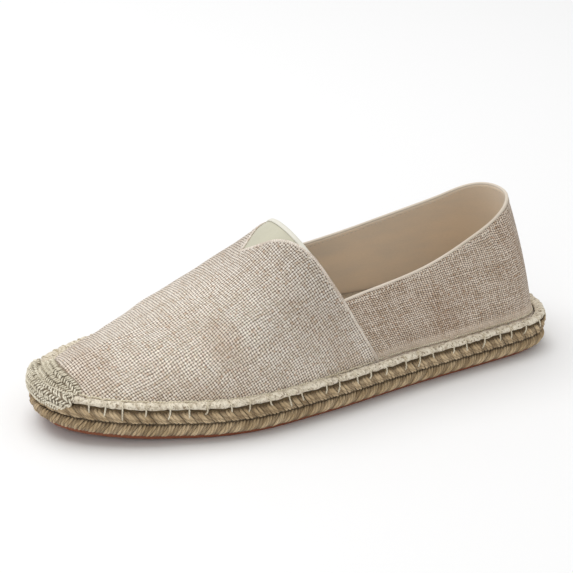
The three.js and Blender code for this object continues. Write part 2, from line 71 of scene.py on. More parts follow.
# The last. at: way round the edge, 0 at the toe's tip, 1 at the side seam, 2 at the back of the heel.
LAST: Table = {
    "at": (0.0, 0.12, 0.3, 0.5, 0.75, 1.0, 1.33, 1.66, 2.0),
    "spine": (0.842, 0.8025, 0.7267, 0.6602, 0.5967, 0.537, 0.38, 0.222, 0.1136),
    "height": (0.468, 0.503, 0.605, 0.727, 0.86, 1.0, 1.122, 1.167, 1.2365),
    "ledge": (0.05, 0.05, 0.05, 0.05, 0.05, 0.066, 0.058, 0.063, 0.055),
    "side": (1.1, 1.05, 1.01, 0.98, 0.92, 0.93, 0.855, 1.09, 0.97),
    "top": (0.95, 0.95, 0.94, 0.93, 0.92, 0.86, 0.89, 0.957, 0.916),
    "upright": (0.0, 0.0, 0.1, 0.5, 0.9, 1.0, 0.7, 0.5, 0.5),
}

# The collar's edge. at: way round from the side seam, 0, to the back of the heel, 1.
# height: share of the heel's height.
COLLAR: Table = {
    "at": (-0.2, 0.0, 0.3, 0.6, 0.85, 1.0),
    "height": (0.63, 0.665, 0.744, 0.874, 0.984, 1.0),
}


def from_table(table: Table, column: str, at: Array) -> Array:
    """Smooth values of one column of a table, level at both of its ends.

    Args:
        table: columns of numbers, with the stations under "at".
        column: the column to read.
        at: stations.

    Returns:
        One value for each station.
    """
    stations = np.array(table["at"])
    values = np.array(table[column])
    slopes = np.zeros(len(stations))
    slopes[1:-1] = (values[2:] - values[:-2]) / (stations[2:] - stations[:-2])
    k = np.clip(np.searchsorted(stations, at, side="right") - 1, 0, len(stations) - 2)
    span = stations[k + 1] - stations[k]
    t = np.clip((at - stations[k]) / span, 0.0, 1.0)
    start = (2 * t**3 - 3 * t**2 + 1) * values[k] + (t**3 - 2 * t**2 + t) * span * slopes[k]
    end = (3 * t**2 - 2 * t**3) * values[k + 1] + (t**3 - t**2) * span * slopes[k + 1]
    return start + end


def unit(vectors: Array) -> Array:
    """Vectors along the last axis, brought to a length of 1."""
    return vectors / np.maximum(np.linalg.norm(vectors, axis=-1, keepdims=True), TINY)


def running_sum(steps: Array) -> Array:
    """Sums of each row's steps so far, from 0."""
    return np.concatenate([np.zeros((len(steps), 1)), np.cumsum(steps, 1)], 1)


def step_lengths(points: Array) -> Array:
    """Distances between neighbours along the second axis of a sheet."""
    return np.linalg.norm(np.diff(points, axis=1), axis=2)


def travelled(line: Array) -> Array:
    """Distance travelled along a line at each of its places."""
    return running_sum(step_lengths(line[None]))[0]


def closing(radius: Array | float, count: int = 0) -> Array:
    """A cord's radii, brought to 0 at both ends: as given, or one radius for a number of places.

    Args:
        radius: one radius, or one for each place, in millimetres.
        count: how many places, for one radius.

    Returns:
        A radius for each place.
    """
    radii = np.full(count, radius) if count else np.array(radius)
    radii[[0, -1]] = 0
    return radii


def jitter(where: float, seed: float) -> float:
    """Smooth random number from -1 to 1 along a line."""
    return noise.noise(Vector((where, seed, 0.37)))


class Side(Enum):
    """A side of the shoe, with the sign of Y there."""

    OUTER = 1
    INNER = -1


@dataclass(frozen=True)
class SoleForm:
    """The sole's outline and levels, in millimetres."""

    length: float = 269.5
    stitches_beyond: float = 1.7
    ball_width: float = 98.0
    heel_round: float = 21.6
    heel_power: float = 2.85
    toe_round: float = 60.0
    toe_power: float = 2.2
    toe_spring: float = 5.5
    spring_start: float = 0.647
    rubber: float = 2.5
    jute: float = 13.6
    seat_gap: float = 0.3
    samples: int = 720

    @property
    def jute_bottom(self) -> float:
        """Height of the jute's underside."""
        return self.rubber + self.seat_gap

    @property
    def jute_top(self) -> float:
        """Height of the jute's upper face."""
        return self.jute_bottom + self.jute

    @property
    def deck(self) -> float:
        """Height at which whatever lies on the jute starts."""
        return self.jute_top + self.seat_gap

    def station_x(self, at: Array) -> Array:
        """A station's distance from the middle of the shoe's length."""
        return at * (self.length - self.stitches_beyond) - self.length / 2

    def half(self, at: Array) -> Array:
        """Half of the width at a station, with the round heel and toe taken off, as a share of the ball's.

        Args:
            at: stations, from 0 at the heel to 1 at the toe.

        Returns:
            A share for each station.
        """
        heel = np.maximum(0, 1 - at * self.length / self.heel_round)
        toe = np.maximum(0, 1 - (1 - at) * self.length / self.toe_round)
        heel_share = (1 - heel**self.heel_power) ** (1 / self.heel_power)
        toe_share = (1 - toe**self.toe_power) ** (1 / self.toe_power)
        return from_table(SOLE_PLAN, "half", at) * heel_share * toe_share

    @cached_property
    def balance(self) -> float:
        """How far the table's middle line lies from the line halfway between the widest places.

        Returns:
            The distance, as a share of the ball's width.
        """
        at = np.linspace(0, 1, self.samples + 1)
        centre = from_table(SOLE_PLAN, "centre", at)
        return (np.max(self.half(at) + centre) - np.max(self.half(at) - centre)) / 2

    def middle_y(self, at: Array) -> Array:
        """A station's middle, towards the outer side."""
        return (from_table(SOLE_PLAN, "centre", at) - self.balance) * self.ball_width

    def lift(self, x: Array) -> Array:
        """How far the toe spring lifts the sole at a distance from its middle.

        Args:
            x: places along the shoe, in millimetres.

        Returns:
            The lift at each, in millimetres.
        """
        start = (self.spring_start - 0.5) * self.length
        reach = (1 - self.spring_start) * self.length
        return self.toe_spring * np.maximum(0, (x - start) / reach) ** 2


@dataclass(frozen=True)
class Edge:
    """The sole's outline as one closed line, from the toe's tip along the outer side and back."""

    sole: SoleForm
    smooth: int = 3

    @cached_property
    def _line(self) -> dict[str, Array]:
        """Samples of the closed line: place, outward normal, station and distance travelled.

        Returns:
            The arrays, by name.
        """
        sole = self.sole
        at = (1 + np.cos(np.linspace(0, math.pi, sole.samples + 1))) / 2
        x = sole.station_x(at)
        y = sole.half(at) * sole.ball_width
        middle = sole.middle_y(at)
        around_x = np.concatenate([x, x[-2::-1]])
        around_y = np.concatenate([middle + y, (middle - y)[-2::-1]])
        around_at = np.concatenate([at, at[-2::-1]])
        travel = np.concatenate([[0], np.cumsum(np.hypot(np.diff(around_x), np.diff(around_y)))])
        dx = np.roll(around_x[:-1], -self.smooth) - np.roll(around_x[:-1], self.smooth)
        dy = np.roll(around_y[:-1], -self.smooth) - np.roll(around_y[:-1], self.smooth)
        size = np.hypot(dx, dy)
        normal_x = -dy / size
        normal_y = dx / size
        return {
            "x": around_x,
            "y": around_y,
            "at": around_at,
            "travel": travel,
            "nx": -np.append(normal_x, normal_x[0]),
            "ny": -np.append(normal_y, normal_y[0]),
        }

    @cached_property
    def length(self) -> float:
        """Length of the whole line."""
        return float(self._line["travel"][-1])

    @cached_property
    def heel_travel(self) -> float:
        """Distance travelled from the toe's tip to the back of the heel."""
        return float(self._line["travel"][self.sole.samples])

    def travel_at(self, side: Side, at: float) -> float:
        """Distance travelled from the toe's tip along one side to a station.

        Args:
            side: the side of the shoe.
            at: the station.

        Returns:
            The distance, in millimetres.
        """
        half = self.sole.samples + 1
        stations = self._line["at"][:half][::-1]
        if side is Side.OUTER:
            return float(np.interp(at, stations, self._line["travel"][:half][::-1]))
        back = self.length - self._line["travel"][half - 1 :]
        return float(np.interp(at, self._line["at"][half - 1 :], back))

    def at(self, distance: Array) -> tuple[Array, Array]:
        """Place and outward normal at distances along the closed line.

        Args:
            distance: distances from the toe's tip, which wrap round.

        Returns:
            Two arrays whose last axis holds X and Y.
        """
        line = self._line
        wrapped = np.mod(distance, self.length)
        place = np.stack([np.interp(wrapped, line["travel"], line[key]) for key in ("x", "y")], -1)
        normal = np.stack([np.interp(wrapped, line["travel"], line[key]) for key in ("nx", "ny")], -1)
        return place, unit(normal)

    def station(self, distance: Array) -> Array:
        """Station, as a share of the length, at distances along the closed line."""
        return np.interp(np.mod(distance, self.length), self._line["travel"], self._line["at"])

    def beside(self, distance: Array, out: Array, height: Array) -> Array:
        """Points outside the outline at a height above the floor, lifted by the toe spring.

        Args:
            distance: distances travelled along the line.
            out: how far outside it.
            height: heights above the floor, for a flat sole.

        Returns:
            The points, in millimetres.
        """
        place, normal = self.at(np.asarray(distance, float))
        flat = place + normal * np.asarray(out, float)[..., None]
        z = np.asarray(height, float) + self.sole.lift(flat[..., 0])
        return np.concatenate([flat, np.broadcast_to(z, flat.shape[:-1])[..., None]], -1)


@dataclass
class Columns:
    """Columns of the upper, each from its foot on the sole to a point of the spine."""

    foot: Array
    spine: Array
    normal: Array
    foot_z: Array
    spine_z: Array
    side: Array
    top: Array
    upright: Array
    ramp: Array
    flare_reach: float
    flare: float

    def points(self, angle: Array) -> Array:
        """Points of each column at angles from 0 at the foot to a quarter turn at the spine.

        Args:
            angle: one row of angles for each column.

        Returns:
            An array of points with the shape of the angles and a last axis for X, Y and Z.
        """
        inward = 1 - np.clip(np.cos(angle), 0, 1) ** self.side[:, None]
        inward = np.where(angle >= math.pi / 2 - TINY, 1.0, inward)
        arch = np.clip(np.sin(angle), 0, 1) ** self.top[:, None]
        upward = arch + (inward - arch) * self.ramp[:, None]
        forward = inward + (upward - inward) * self.upright[:, None]
        z = self.foot_z[:, None] + (self.spine_z - self.foot_z)[:, None] * upward
        low = np.clip(1 - (z - self.foot_z[:, None]) / self.flare_reach, 0, 1)
        out = self.flare * (1 - np.sqrt(1 - low**2))
        across = self.spine - self.foot
        x = self.foot[:, 0, None] + across[:, 0, None] * forward + self.normal[:, 0, None] * out
        y = self.foot[:, 1, None] + across[:, 1, None] * inward + self.normal[:, 1, None] * out
        return np.stack([x, y, z], -1)

    def angle_at(self, height: Array) -> Array:
        """The angle at which each column reaches a height, found by halving.

        Args:
            height: a height for each column.

        Returns:
            An angle for each column.
        """
        low = np.zeros(len(self.foot))
        high = np.full(len(self.foot), math.pi / 2)
        for _ in range(30):
            middle = (low + high) / 2
            under = self.points(middle[:, None])[:, 0, 2] < height
            low = np.where(under, middle, low)
            high = np.where(under, high, middle)
        return high


@dataclass(frozen=True)
class Crease:
    """A soft trough in the cloth, or a ridge where its depth is negative, in millimetres.

    Its ends are given as the distance from the toe's tip round the edge and the height up the cloth.
    """

    start: tuple[float, float]
    end: tuple[float, float]
    width: float
    depth: float

    def at(self, along: Array, up: Array) -> Array:
        """How deep it is at places of the cloth.

        Args:
            along: places along the cloth.
            up: places up the cloth.

        Returns:
            The depth at each place, in millimetres.
        """
        run_along = self.end[0] - self.start[0]
        run_up = self.end[1] - self.start[1]
        length = math.hypot(run_along, run_up)
        share = ((along - self.start[0]) * run_along + (up - self.start[1]) * run_up) / length**2
        away = ((along - self.start[0]) * run_up - (up - self.start[1]) * run_along) / length
        beyond = np.maximum(np.abs(share - 0.5) - 0.5, 0) * length
        return self.depth * np.exp(-(away**2 + beyond**2) / self.width**2)


CREASES: dict[Side, tuple[Crease, ...]] = {
    Side.OUTER: (
        Crease((152, 14), (139, 34), 5.0, 0.75),
        Crease((146, 8), (136, 22), 4.0, -0.6),
        Crease((128, 6), (118, 30), 7.0, 0.7),
        Crease((112, 20), (96, 48), 9.0, -0.8),
        Crease((92, 6), (80, 34), 7.0, 0.7),
        Crease((66, 4), (58, 26), 6.0, 0.55),
        Crease((44, 3), (42, 18), 5.0, 0.4),
        Crease((176, 7), (206, 12), 6.0, -0.9),
        Crease((188, 26), (232, 34), 8.0, 0.5),
        Crease((222, 8), (262, 12), 6.0, -0.8),
        Crease((236, 44), (268, 52), 7.0, 0.4),
    ),
    Side.INNER: (
        Crease((150, 12), (138, 36), 6.0, 0.8),
        Crease((120, 6), (108, 34), 8.0, 0.8),
        Crease((84, 6), (76, 30), 7.0, -0.7),
        Crease((56, 4), (50, 24), 6.0, 0.5),
        Crease((180, 8), (214, 14), 7.0, -0.9),
        Crease((200, 30), (238, 36), 8.0, 0.5),
    ),
}


@dataclass(frozen=True)
class Puckers:
    """The small gathers of the cloth where it is stitched to the sole, in millimetres."""

    pitch: float = 7.3
    depth: float = 0.42
    height: float = 9.0

    def at(self, along: Array, up: Array) -> Array:
        """How deep they are at places of the cloth.

        Args:
            along: places along the cloth.
            up: places up the cloth.

        Returns:
            The depth at each place, in millimetres.
        """
        phase = 2 * math.pi * along / self.pitch + 1.3 * np.sin(along * 0.13) + 0.9 * np.sin(along * 0.047)
        uneven = 0.65 + 0.35 * np.sin(along * 0.31 + 1.0)
        return self.depth * uneven * np.cos(phase) * np.exp(-((up / self.height) ** 2))


@dataclass(frozen=True)
class LastForm:
    """The shoe's form above the sole, in millimetres."""

    edge: Edge
    instep_height: float = 82.0
    heel_height: float = 77.8
    seam_foot: float = 0.4045
    vamp_step: float = 0.8
    wall: float = 1.8
    flange: float = 1.2
    flare: float = 2.2
    hem_width: float = 3.5
    hem_height: float = 2.9
    hem_setback: float = 0.3
    notch_length: float = 17.5
    notch_half_width: float = 16.4
    notch_shift: float = 6.4
    notch_corner_drop: float = 4.0
    slope_step: float = 0.04
    foot_crowding: float = 1.25
    crease_fade_top: float = 0.2
    crease_fade_foot: float = 0.04
    puckers: Puckers = Puckers()

    @property
    def sole(self) -> SoleForm:
        """The sole that the upper stands on."""
        return self.edge.sole

    def distance(self, side: Side, way: Array) -> Array:
        """Distance along the closed edge for a way round one side.

        Args:
            side: the side of the shoe.
            way: ways round the edge.

        Returns:
            A distance for each, in millimetres.
        """
        seam = self.edge.travel_at(side, self.seam_foot)
        whole = self.edge.heel_travel
        if side is Side.INNER:
            whole = self.edge.length - whole
        travel = np.where(way <= 1, way * seam, seam + (way - 1) * (whole - seam))
        return travel if side is Side.OUTER else self.edge.length - travel

    def ridge_slope(self, way: Array) -> Array:
        """How steeply the ridge of the vamp climbs from the toe to the instep.

        Args:
            way: ways round the edge.

        Returns:
            The slope at each.
        """
        start = np.maximum(way - self.slope_step, 0)
        end = np.minimum(way + self.slope_step, 1)
        climb = (from_table(LAST, "height", end) - from_table(LAST, "height", start)) * self.instep_height
        run = from_table(LAST, "spine", start) - from_table(LAST, "spine", end)
        run = run * (self.sole.length - self.sole.stitches_beyond)
        return climb / np.where(np.abs(run) < TINY, 1, run)

    def columns(self, side: Side, way: Array, depth: Array | float) -> Columns:
        """Columns of the upper, a depth inside the vamp's outer face.

        Args:
            side: the side of the shoe.
            way: ways round the edge.
            depth: how far inside the vamp's outer face, the same for all or one for each.

        Returns:
            The columns.
        """
        way = np.asarray(way, float)
        place, normal = self.edge.at(self.distance(side, way))
        ledge = from_table(LAST, "ledge", way) * self.sole.ball_width
        foot = place - normal * (ledge + depth)[:, None]
        spine_at = from_table(LAST, "spine", way)
        spine = np.stack([self.sole.station_x(spine_at), self.sole.middle_y(spine_at)], -1)
        foot_z = self.sole.deck + self.sole.lift(foot[:, 0])
        spine_z = from_table(LAST, "height", way) * self.instep_height - depth
        upright = from_table(LAST, "upright", way)
        slope = self.ridge_slope(way) * (foot[:, 0] - spine[:, 0]) / (spine_z - foot_z)
        slope = np.where(way < 1, slope, 0)
        ramp = slope * (1 - upright) / (1 - slope * upright)
        exponents = [from_table(LAST, key, way) for key in ("side", "top")]
        reach = self.flange + self.flare
        return Columns(foot, spine, normal, foot_z, spine_z, *exponents, upright, ramp, reach, self.flare)

    def collar_height(self, way: Array) -> Array:
        """Height of the collar's edge at ways round from the side seam."""
        return from_table(COLLAR, "height", way - 1) * self.heel_height

    def wall_angles(self, columns: Columns, top: Array, rows: int) -> Array:
        """Angles from just above the sole to a top angle, closer together near the foot.

        Args:
            columns: the columns of the wall.
            top: the top angle of each column.
            rows: how many rows.

        Returns:
            An angle for each column and row.
        """
        start = columns.angle_at(columns.foot_z + self.flange / 3)
        share = (np.arange(rows + 1) / rows) ** self.foot_crowding
        return start[:, None] + (top - start)[:, None] * share[None, :]

    def creased(self, points: Array, side: Side, way: Array, middle: Place) -> Array:
        """Presses the creases and puckers of one side into its cloth.

        Args:
            points: the cloth's lines, each from its foot upwards.
            side: the side of the shoe.
            way: way round the edge of each line.
            middle: a place inside the shoe, which tells in from out.

        Returns:
            The cloth's places, moved in or out.
        """
        along = self.distance(side, way)
        along = np.minimum(along, self.edge.length - along)[:, None]
        up = running_sum(step_lengths(points))
        depth = self.puckers.at(along, up) + sum(crease.at(along, up) for crease in CREASES[side])
        share = np.linspace(0, 1, points.shape[1])[None, :]
        depth = depth * np.clip((1 - share) / self.crease_fade_top, 0, 1)
        depth = depth * np.clip(share / self.crease_fade_foot, 0, 1)
        normal = unit(np.cross(np.gradient(points, axis=0), np.gradient(points, axis=1)))
        outward = np.sign(np.sum(normal * (points - np.array(middle)), 2, keepdims=True))
        return points - normal * outward * depth[..., None]

    def vamp_section(self, way: Array, depth: float, rows: int, soft: bool = False) -> Array:
        """The vamp's face, one line for each way, from the outer foot over the ridge to the inner foot.

        Args:
            way: ways round the edge.
            depth: how far inside the vamp's outer face.
            rows: steps from a foot to the ridge.
            soft: whether its creases are pressed in.

        Returns:
            Its places.
        """
        halves = []
        for side in Side:
            columns = self.columns(side, way, depth)
            top = np.full(len(way), math.pi / 2)
            half = columns.points(self.wall_angles(columns, top, rows))
            halves.append(self.creased(half, side, way, VAMP_MIDDLE) if soft else half)
        return np.concatenate([halves[0], halves[1][:, -2::-1]], 1)

    def quarter_sheet(
        self, start: float, depth: float, drop: float, count: int, rows: int, soft: bool = False
    ) -> Array:
        """The quarter's face from one side seam round the heel to the other.

        Args:
            start: way round the edge at which it starts on each side.
            depth: how far inside the vamp's outer face.
            drop: how far under the collar's edge it ends.
            count: steps along each side.
            rows: steps from the foot to the collar.
            soft: whether its creases are pressed in.

        Returns:
            Its places.
        """
        runs = []
        for side in Side:
            way = np.linspace(start, 2.0, count + 1)
            columns = self.columns(side, way, depth)
            top = columns.angle_at(self.collar_height(way) - drop)
            run = columns.points(self.wall_angles(columns, top, rows))
            runs.append(self.creased(run, side, way, QUARTER_MIDDLE) if soft else run)
        return np.concatenate([runs[0], runs[1][-2::-1]], 0)

    def collar_line(self, start: float, depth: float, drop: float, count: int) -> Array:
        """A line that follows the collar's edge from one side seam round the heel to the other."""
        return self.quarter_sheet(start, depth, drop, count, 1)[:, -1]

    def wall_line(self, height: Array, proud: float, count: int) -> Array:
        """A closed line round the upper's wall at heights above its foot, a distance outside its face.

        Args:
            height: heights above the wall's foot.
            proud: how far outside its face.
            count: how many steps along each side.

        Returns:
            The points, in millimetres.
        """
        runs = []
        for side in Side:
            way = np.linspace(0, 2, count + 1)
            step = self.vamp_step * np.clip((way - 0.985) / 0.03, 0, 1)
            columns = self.columns(side, way, step - proud)
            angle = columns.angle_at(columns.foot_z + height)
            runs.append(columns.points(angle[:, None])[:, 0])
        return np.concatenate([runs[0], runs[1][-2::-1]])

    def hem_point(self, distance: Array, turn: Array, proud: Array, hug: float = 0.0) -> Array:
        """Points on the rolled hem.

        Args:
            distance: along the sole's edge.
            turn: round the hem's section, from its outer side over its top.
            proud: how far outside the hem's face.
            hug: how far the inner side reaches on to the upper's wall.

        Returns:
            The places.
        """
        middle = -(self.hem_setback + self.hem_width / 2)
        out = middle + (self.hem_width / 2 + proud) * np.cos(turn) + hug * np.minimum(np.cos(turn), 0)
        height = self.sole.deck + self.hem_height / 2 + (self.hem_height / 2 + proud) * np.sin(turn)
        return self.edge.beside(distance, out, height)


class Value:
    """A number or colour that varies over a surface, with arithmetic on numbers."""

    def __init__(self, nodes: "Nodes", socket: bpy.types.NodeSocket) -> None:
        """Holds a node's output socket and the tree it is in."""
        self.nodes = nodes
        self.socket = socket

    def __add__(self, other: "Value | float") -> "Value":
        """Sum."""
        return self.nodes.maths("ADD", self, other)

    __radd__ = __add__

    def __sub__(self, other: "Value | float") -> "Value":
        """Difference."""
        return self.nodes.maths("SUBTRACT", self, other)

    def __rsub__(self, other: "Value | float") -> "Value":
        """Difference from a number."""
        return self.nodes.maths("SUBTRACT", other, self)

    def __mul__(self, other: "Value | float") -> "Value":
        """Product."""
        return self.nodes.maths("MULTIPLY", self, other)

    __rmul__ = __mul__

    def __abs__(self) -> "Value":
        """Size without its sign."""
        return self.nodes.maths("ABSOLUTE", self)


class Nodes:
    """A material's node tree with one way of adding nodes."""

    def __init__(self, name: str) -> None:
        """Starts an empty material.

        Args:
            name: the material's name.
        """
        self.material = bpy.data.materials.new(name)
        self.material.use_nodes = True
        self.tree = self.material.node_tree
        self.tree.nodes.clear()

    def add(self, kind: str, settings: dict | None = None, sockets: dict | None = None) -> bpy.types.Node:
        """Adds a node.

        Args:
            kind: the node's type.
            settings: what is set on the node before its sockets.
            sockets: values or links for its sockets, by name or number.

        Returns:
            The node.
        """
        node = self.tree.nodes.new(kind)
        for key, value in (settings or {}).items():
            setattr(node, key, value)
        for key, value in (sockets or {}).items():
            if isinstance(value, Value):
                self.tree.links.new(value.socket, node.inputs[key])
            else:
                node.inputs[key].default_value = value
        return node

    def maths(self, operation: str, *values: "Value | float") -> Value:
        """A Math node on one or more values."""
        node = self.add("ShaderNodeMath", {"operation": operation}, dict(enumerate(values)))
        return Value(self, node.outputs[0])

    def between(self, value: Value, low: float, high: float) -> Value:
        """0 under the low number, 1 over the high one and smooth between.

        Args:
            value: the number to place.
            low: the low number.
            high: the high number.

        Returns:
            A value from 0 to 1.
        """
        sockets = {"Value": value, "From Min": low, "From Max": high}
        node = self.add("ShaderNodeMapRange", {"interpolation_type": "SMOOTHSTEP"}, sockets)
        return Value(self, node.outputs["Result"])

    def mix(
        self, start: "Value | Colour", end: "Value | Colour", share: "Value | float", how: str = "MIX"
    ) -> Value:
        """A colour between two others, or their product where how is MULTIPLY.

        Args:
            start: the first colour.
            end: the second colour.
            share: how much of the second.
            how: the blend's name.

        Returns:
            The colour.
        """
        settings = {"data_type": "RGBA", "blend_type": how}
        node = self.add("ShaderNodeMix", settings, {0: share, 6: start, 7: end})
        return Value(self, node.outputs[2])

    def tone(self, colour: "Value | Colour", brightness: Value) -> Value:
        """A colour made brighter or darker."""
        grey = self.add("ShaderNodeCombineColor", None, {0: brightness, 1: brightness, 2: brightness})
        return self.mix(colour, Value(self, grey.outputs[0]), 1.0, "MULTIPLY")

    def cloth(self) -> tuple[Value, Value]:
        """The two coordinates of the piece's own map, in millimetres.

        Returns:
            The coordinate along the piece, and the one up it.
        """
        uv = self.add("ShaderNodeUVMap", {"uv_map": "cloth"})
        parts = self.add("ShaderNodeSeparateXYZ", None, {0: Value(self, uv.outputs[0])})
        return Value(self, parts.outputs[0]) * UV_UNIT, Value(self, parts.outputs[1]) * UV_UNIT

    def shade(self) -> Value:
        """The piece's shade attribute, for painted shade: 1 in the open and less in its recesses."""
        node = self.add("ShaderNodeAttribute", {"attribute_name": "shade"})
        return Value(self, node.outputs["Fac"])

    def place(self) -> Value:
        """Object coordinates, in metres."""
        return Value(self, self.add("ShaderNodeTexCoord").outputs["Object"])

    def vector(self, x: "Value | float", y: "Value | float", z: "Value | float" = 0.0) -> Value:
        """Three numbers as a vector."""
        node = self.add("ShaderNodeCombineXYZ", None, {0: x, 1: y, 2: z})
        return Value(self, node.outputs[0])

    def noise(self, where: Value, scale: float, detail: float = 2.0, roughness: float = 0.5) -> Value:
        """Noise around one half."""
        sockets = {"Vector": where, "Scale": scale, "Detail": detail, "Roughness": roughness}
        return Value(self, self.add("ShaderNodeTexNoise", None, sockets).outputs[0])

    def surface(
        self,
        colour: "Value | Colour",
        roughness: "Value | float",
        height: Value | None = None,
        relief: float = 0.0,
        sheen: float = 0.0,
        specular: float = 0.3,
    ) -> bpy.types.Material:
        """Ends the tree in a surface.

        Args:
            colour: its colour.
            roughness: its roughness.
            height: relief from 0 to 1, or None.
            relief: how many millimetres a height of 1 stands for.
            sheen: how much soft fuzz it has.
            specular: how strong its reflection is.

        Returns:
            The finished material.
        """
        sockets: dict = {"Base Color": colour, "Roughness": roughness}
        sockets["Sheen Weight"] = sheen
        sockets["Sheen Roughness"] = 0.5
        sockets["Specular IOR Level"] = specular
        if height is not None:
            depth = {"Distance": relief * MM, "Strength": 1.0, "Height": height}
            bump = self.add("ShaderNodeBump", None, depth)
            sockets["Normal"] = Value(self, bump.outputs[0])
        body = self.add("ShaderNodeBsdfPrincipled", None, sockets)
        self.add("ShaderNodeOutputMaterial", None, {0: Value(self, body.outputs[0])})
        return self.material


@dataclass(frozen=True)
class Weave:
    """An open plain weave of uneven yarns, with painted shade in the holes between them."""

    name: str
    light: Colour
    middle: Colour
    brown: Colour
    painted_shade: Colour
    pitch: float = 1.28
    relief: float = 0.36
    patchiness: float = 0.4
    streak: float = 0.5
    brown_yarns: float = 0.6
    painted_shade_share: float = 1.0

    def material(self) -> bpy.types.Material:
        """Builds the weave's material.

        Returns:
            The material.
        """
        nodes = Nodes(self.name)
        u, v = nodes.cloth()
        sway = nodes.noise(nodes.vector(u, v), 0.05, 1.0)
        wobble = nodes.noise(nodes.vector(v, u), 0.5, 1.0)
        a = (u + sway * 3.0 + wobble * 0.5) * (1 / self.pitch)
        b = (v - sway * 3.0 + wobble * 0.5) * (1 / self.pitch)
        wave_a = nodes.maths("SINE", a * math.pi)
        wave_b = nodes.maths("SINE", b * math.pi)
        on_top = nodes.between(wave_a * wave_b, -0.35, 0.35)
        size_a = abs(wave_a)
        size_b = abs(wave_b)
        warp = self.yarn(nodes, nodes.maths("FLOOR", a), b, 3.1)
        weft = self.yarn(nodes, nodes.maths("FLOOR", b), a, 8.7)
        body = nodes.maths("SQRT", size_a * (0.35 + size_b * 0.65)) * on_top
        body = body + nodes.maths("SQRT", size_b * (0.35 + size_a * 0.65)) * (1.0 - on_top)
        patches = nodes.noise(nodes.vector(u, v * 0.5, 5.0), 0.03, 3.0, 0.62)
        yarn = nodes.mix(weft, warp, on_top)
        stained = nodes.mix(yarn, self.brown, nodes.between(patches, 0.46, 0.78) * self.patchiness)
        openness = nodes.noise(nodes.vector(u, v, 9.0), 0.9, 2.0, 0.6)
        shade = nodes.shade()
        close = nodes.between(shade, 1.0, 2.0)
        # A shade attribute under 1 is painted shade that darkens the cloth.
        darker = nodes.maths("MINIMUM", shade, 1.0)
        hole = 1.0 - nodes.between(body + (openness - 0.5) * 0.7 + close * 0.3, 0.3, 0.82)
        # The holes between the yarns are painted with a dark shade colour.
        colour = nodes.mix(stained, self.painted_shade, hole * self.painted_shade_share)
        pale = nodes.mix(colour, self.light, close * 0.8)
        return nodes.surface(nodes.tone(pale, darker), 0.95, body, self.relief, 0.2, 0.2)

    def yarn(self, nodes: Nodes, number: Value, along: Value, seed: float) -> Value:
        """Colour of one family of yarns, each with its own tone, slubs and brown lengths.

        Args:
            nodes: the tree.
            number: the yarn's number.
            along: the place along the yarn.
            seed: sets the two families apart.

        Returns:
            The colour.
        """
        slow = nodes.noise(nodes.vector(number * 7.31, along * 0.06, seed), 1.0, 2.0, 0.6)
        quick = nodes.noise(nodes.vector(number * 5.17, along * 0.5, seed), 1.0, 2.0, 0.6)
        base = nodes.mix(self.middle, self.light, nodes.between(slow, 0.32, 0.6))
        browned = nodes.mix(base, self.brown, nodes.between(quick, 0.55, 0.7) * self.brown_yarns)
        return nodes.tone(browned, 1.0 - self.streak * 0.5 + quick * self.streak)


@dataclass(frozen=True)
class SmoothCloth:
    """A close, smooth cloth whose threads hardly show."""

    name: str
    colour: Colour
    other: Colour
    rib: float = 0.5
    relief: float = 0.04
    sheen: float = 0.2

    def material(self) -> bpy.types.Material:
        """Builds the cloth's material.

        Returns:
            The material.
        """
        nodes = Nodes(self.name)
        u, v = nodes.cloth()
        ribs = nodes.maths("SINE", u * (2 * math.pi / self.rib)) * 0.5 + 0.5
        cross = nodes.maths("SINE", v * (2 * math.pi / self.rib)) * 0.5 + 0.5
        soft = nodes.noise(nodes.vector(u * 0.35, v), 0.05, 3.0, 0.55)
        fine = nodes.noise(nodes.vector(u * 0.4, v), 1.6, 2.0)
        colour = nodes.mix(self.colour, self.other, nodes.between(soft, 0.35, 0.7))
        toned = nodes.tone(colour, 0.92 + ribs * 0.05 + fine * 0.1)
        height = ribs * 0.5 + cross * 0.3 + fine * 0.5
        return nodes.surface(toned, 0.88, height, self.relief, self.sheen, 0.25)


@dataclass(frozen=True)
class Twist:
    """A twisted yarn or thread, with its plies, loose fibres and painted shade in its grooves."""

    name: str
    colour: Colour
    other: Colour
    painted_shade: Colour
    lay: float = 2.2
    plies: float = 2.0
    relief: float = 0.25
    grain: float = 0.35

    def material(self) -> bpy.types.Material:
        """Builds the yarn's material.

        Returns:
            The material.
        """
        nodes = Nodes(self.name)
        u, v = nodes.cloth()
        place = nodes.place()
        turn = u * (2 * math.pi / self.lay) + v * (2 * math.pi * self.plies)
        ply = nodes.maths("SINE", turn) * 0.5 + 0.5
        fibre = nodes.noise(nodes.vector(u * 0.8, v * 9.0), 2.2, 3.0, 0.65)
        patches = nodes.noise(place, 70.0, 3.0, 0.6)
        base = nodes.mix(self.colour, self.other, nodes.between(patches, 0.35, 0.66))
        toned = nodes.tone(base, 1.0 - self.grain * 0.5 + fibre * self.grain)
        # Painted shade: darker where the shade attribute is low and in the grooves between the plies.
        painted_light_share = nodes.between(nodes.shade(), 0.1, 1.0) * (0.55 + nodes.between(ply, 0.0, 0.5) * 0.45)
        colour = nodes.mix(self.painted_shade, toned, painted_light_share)
        return nodes.surface(colour, 0.95, ply * 0.6 + fibre * 0.5, self.relief, 0.15, 0.2)


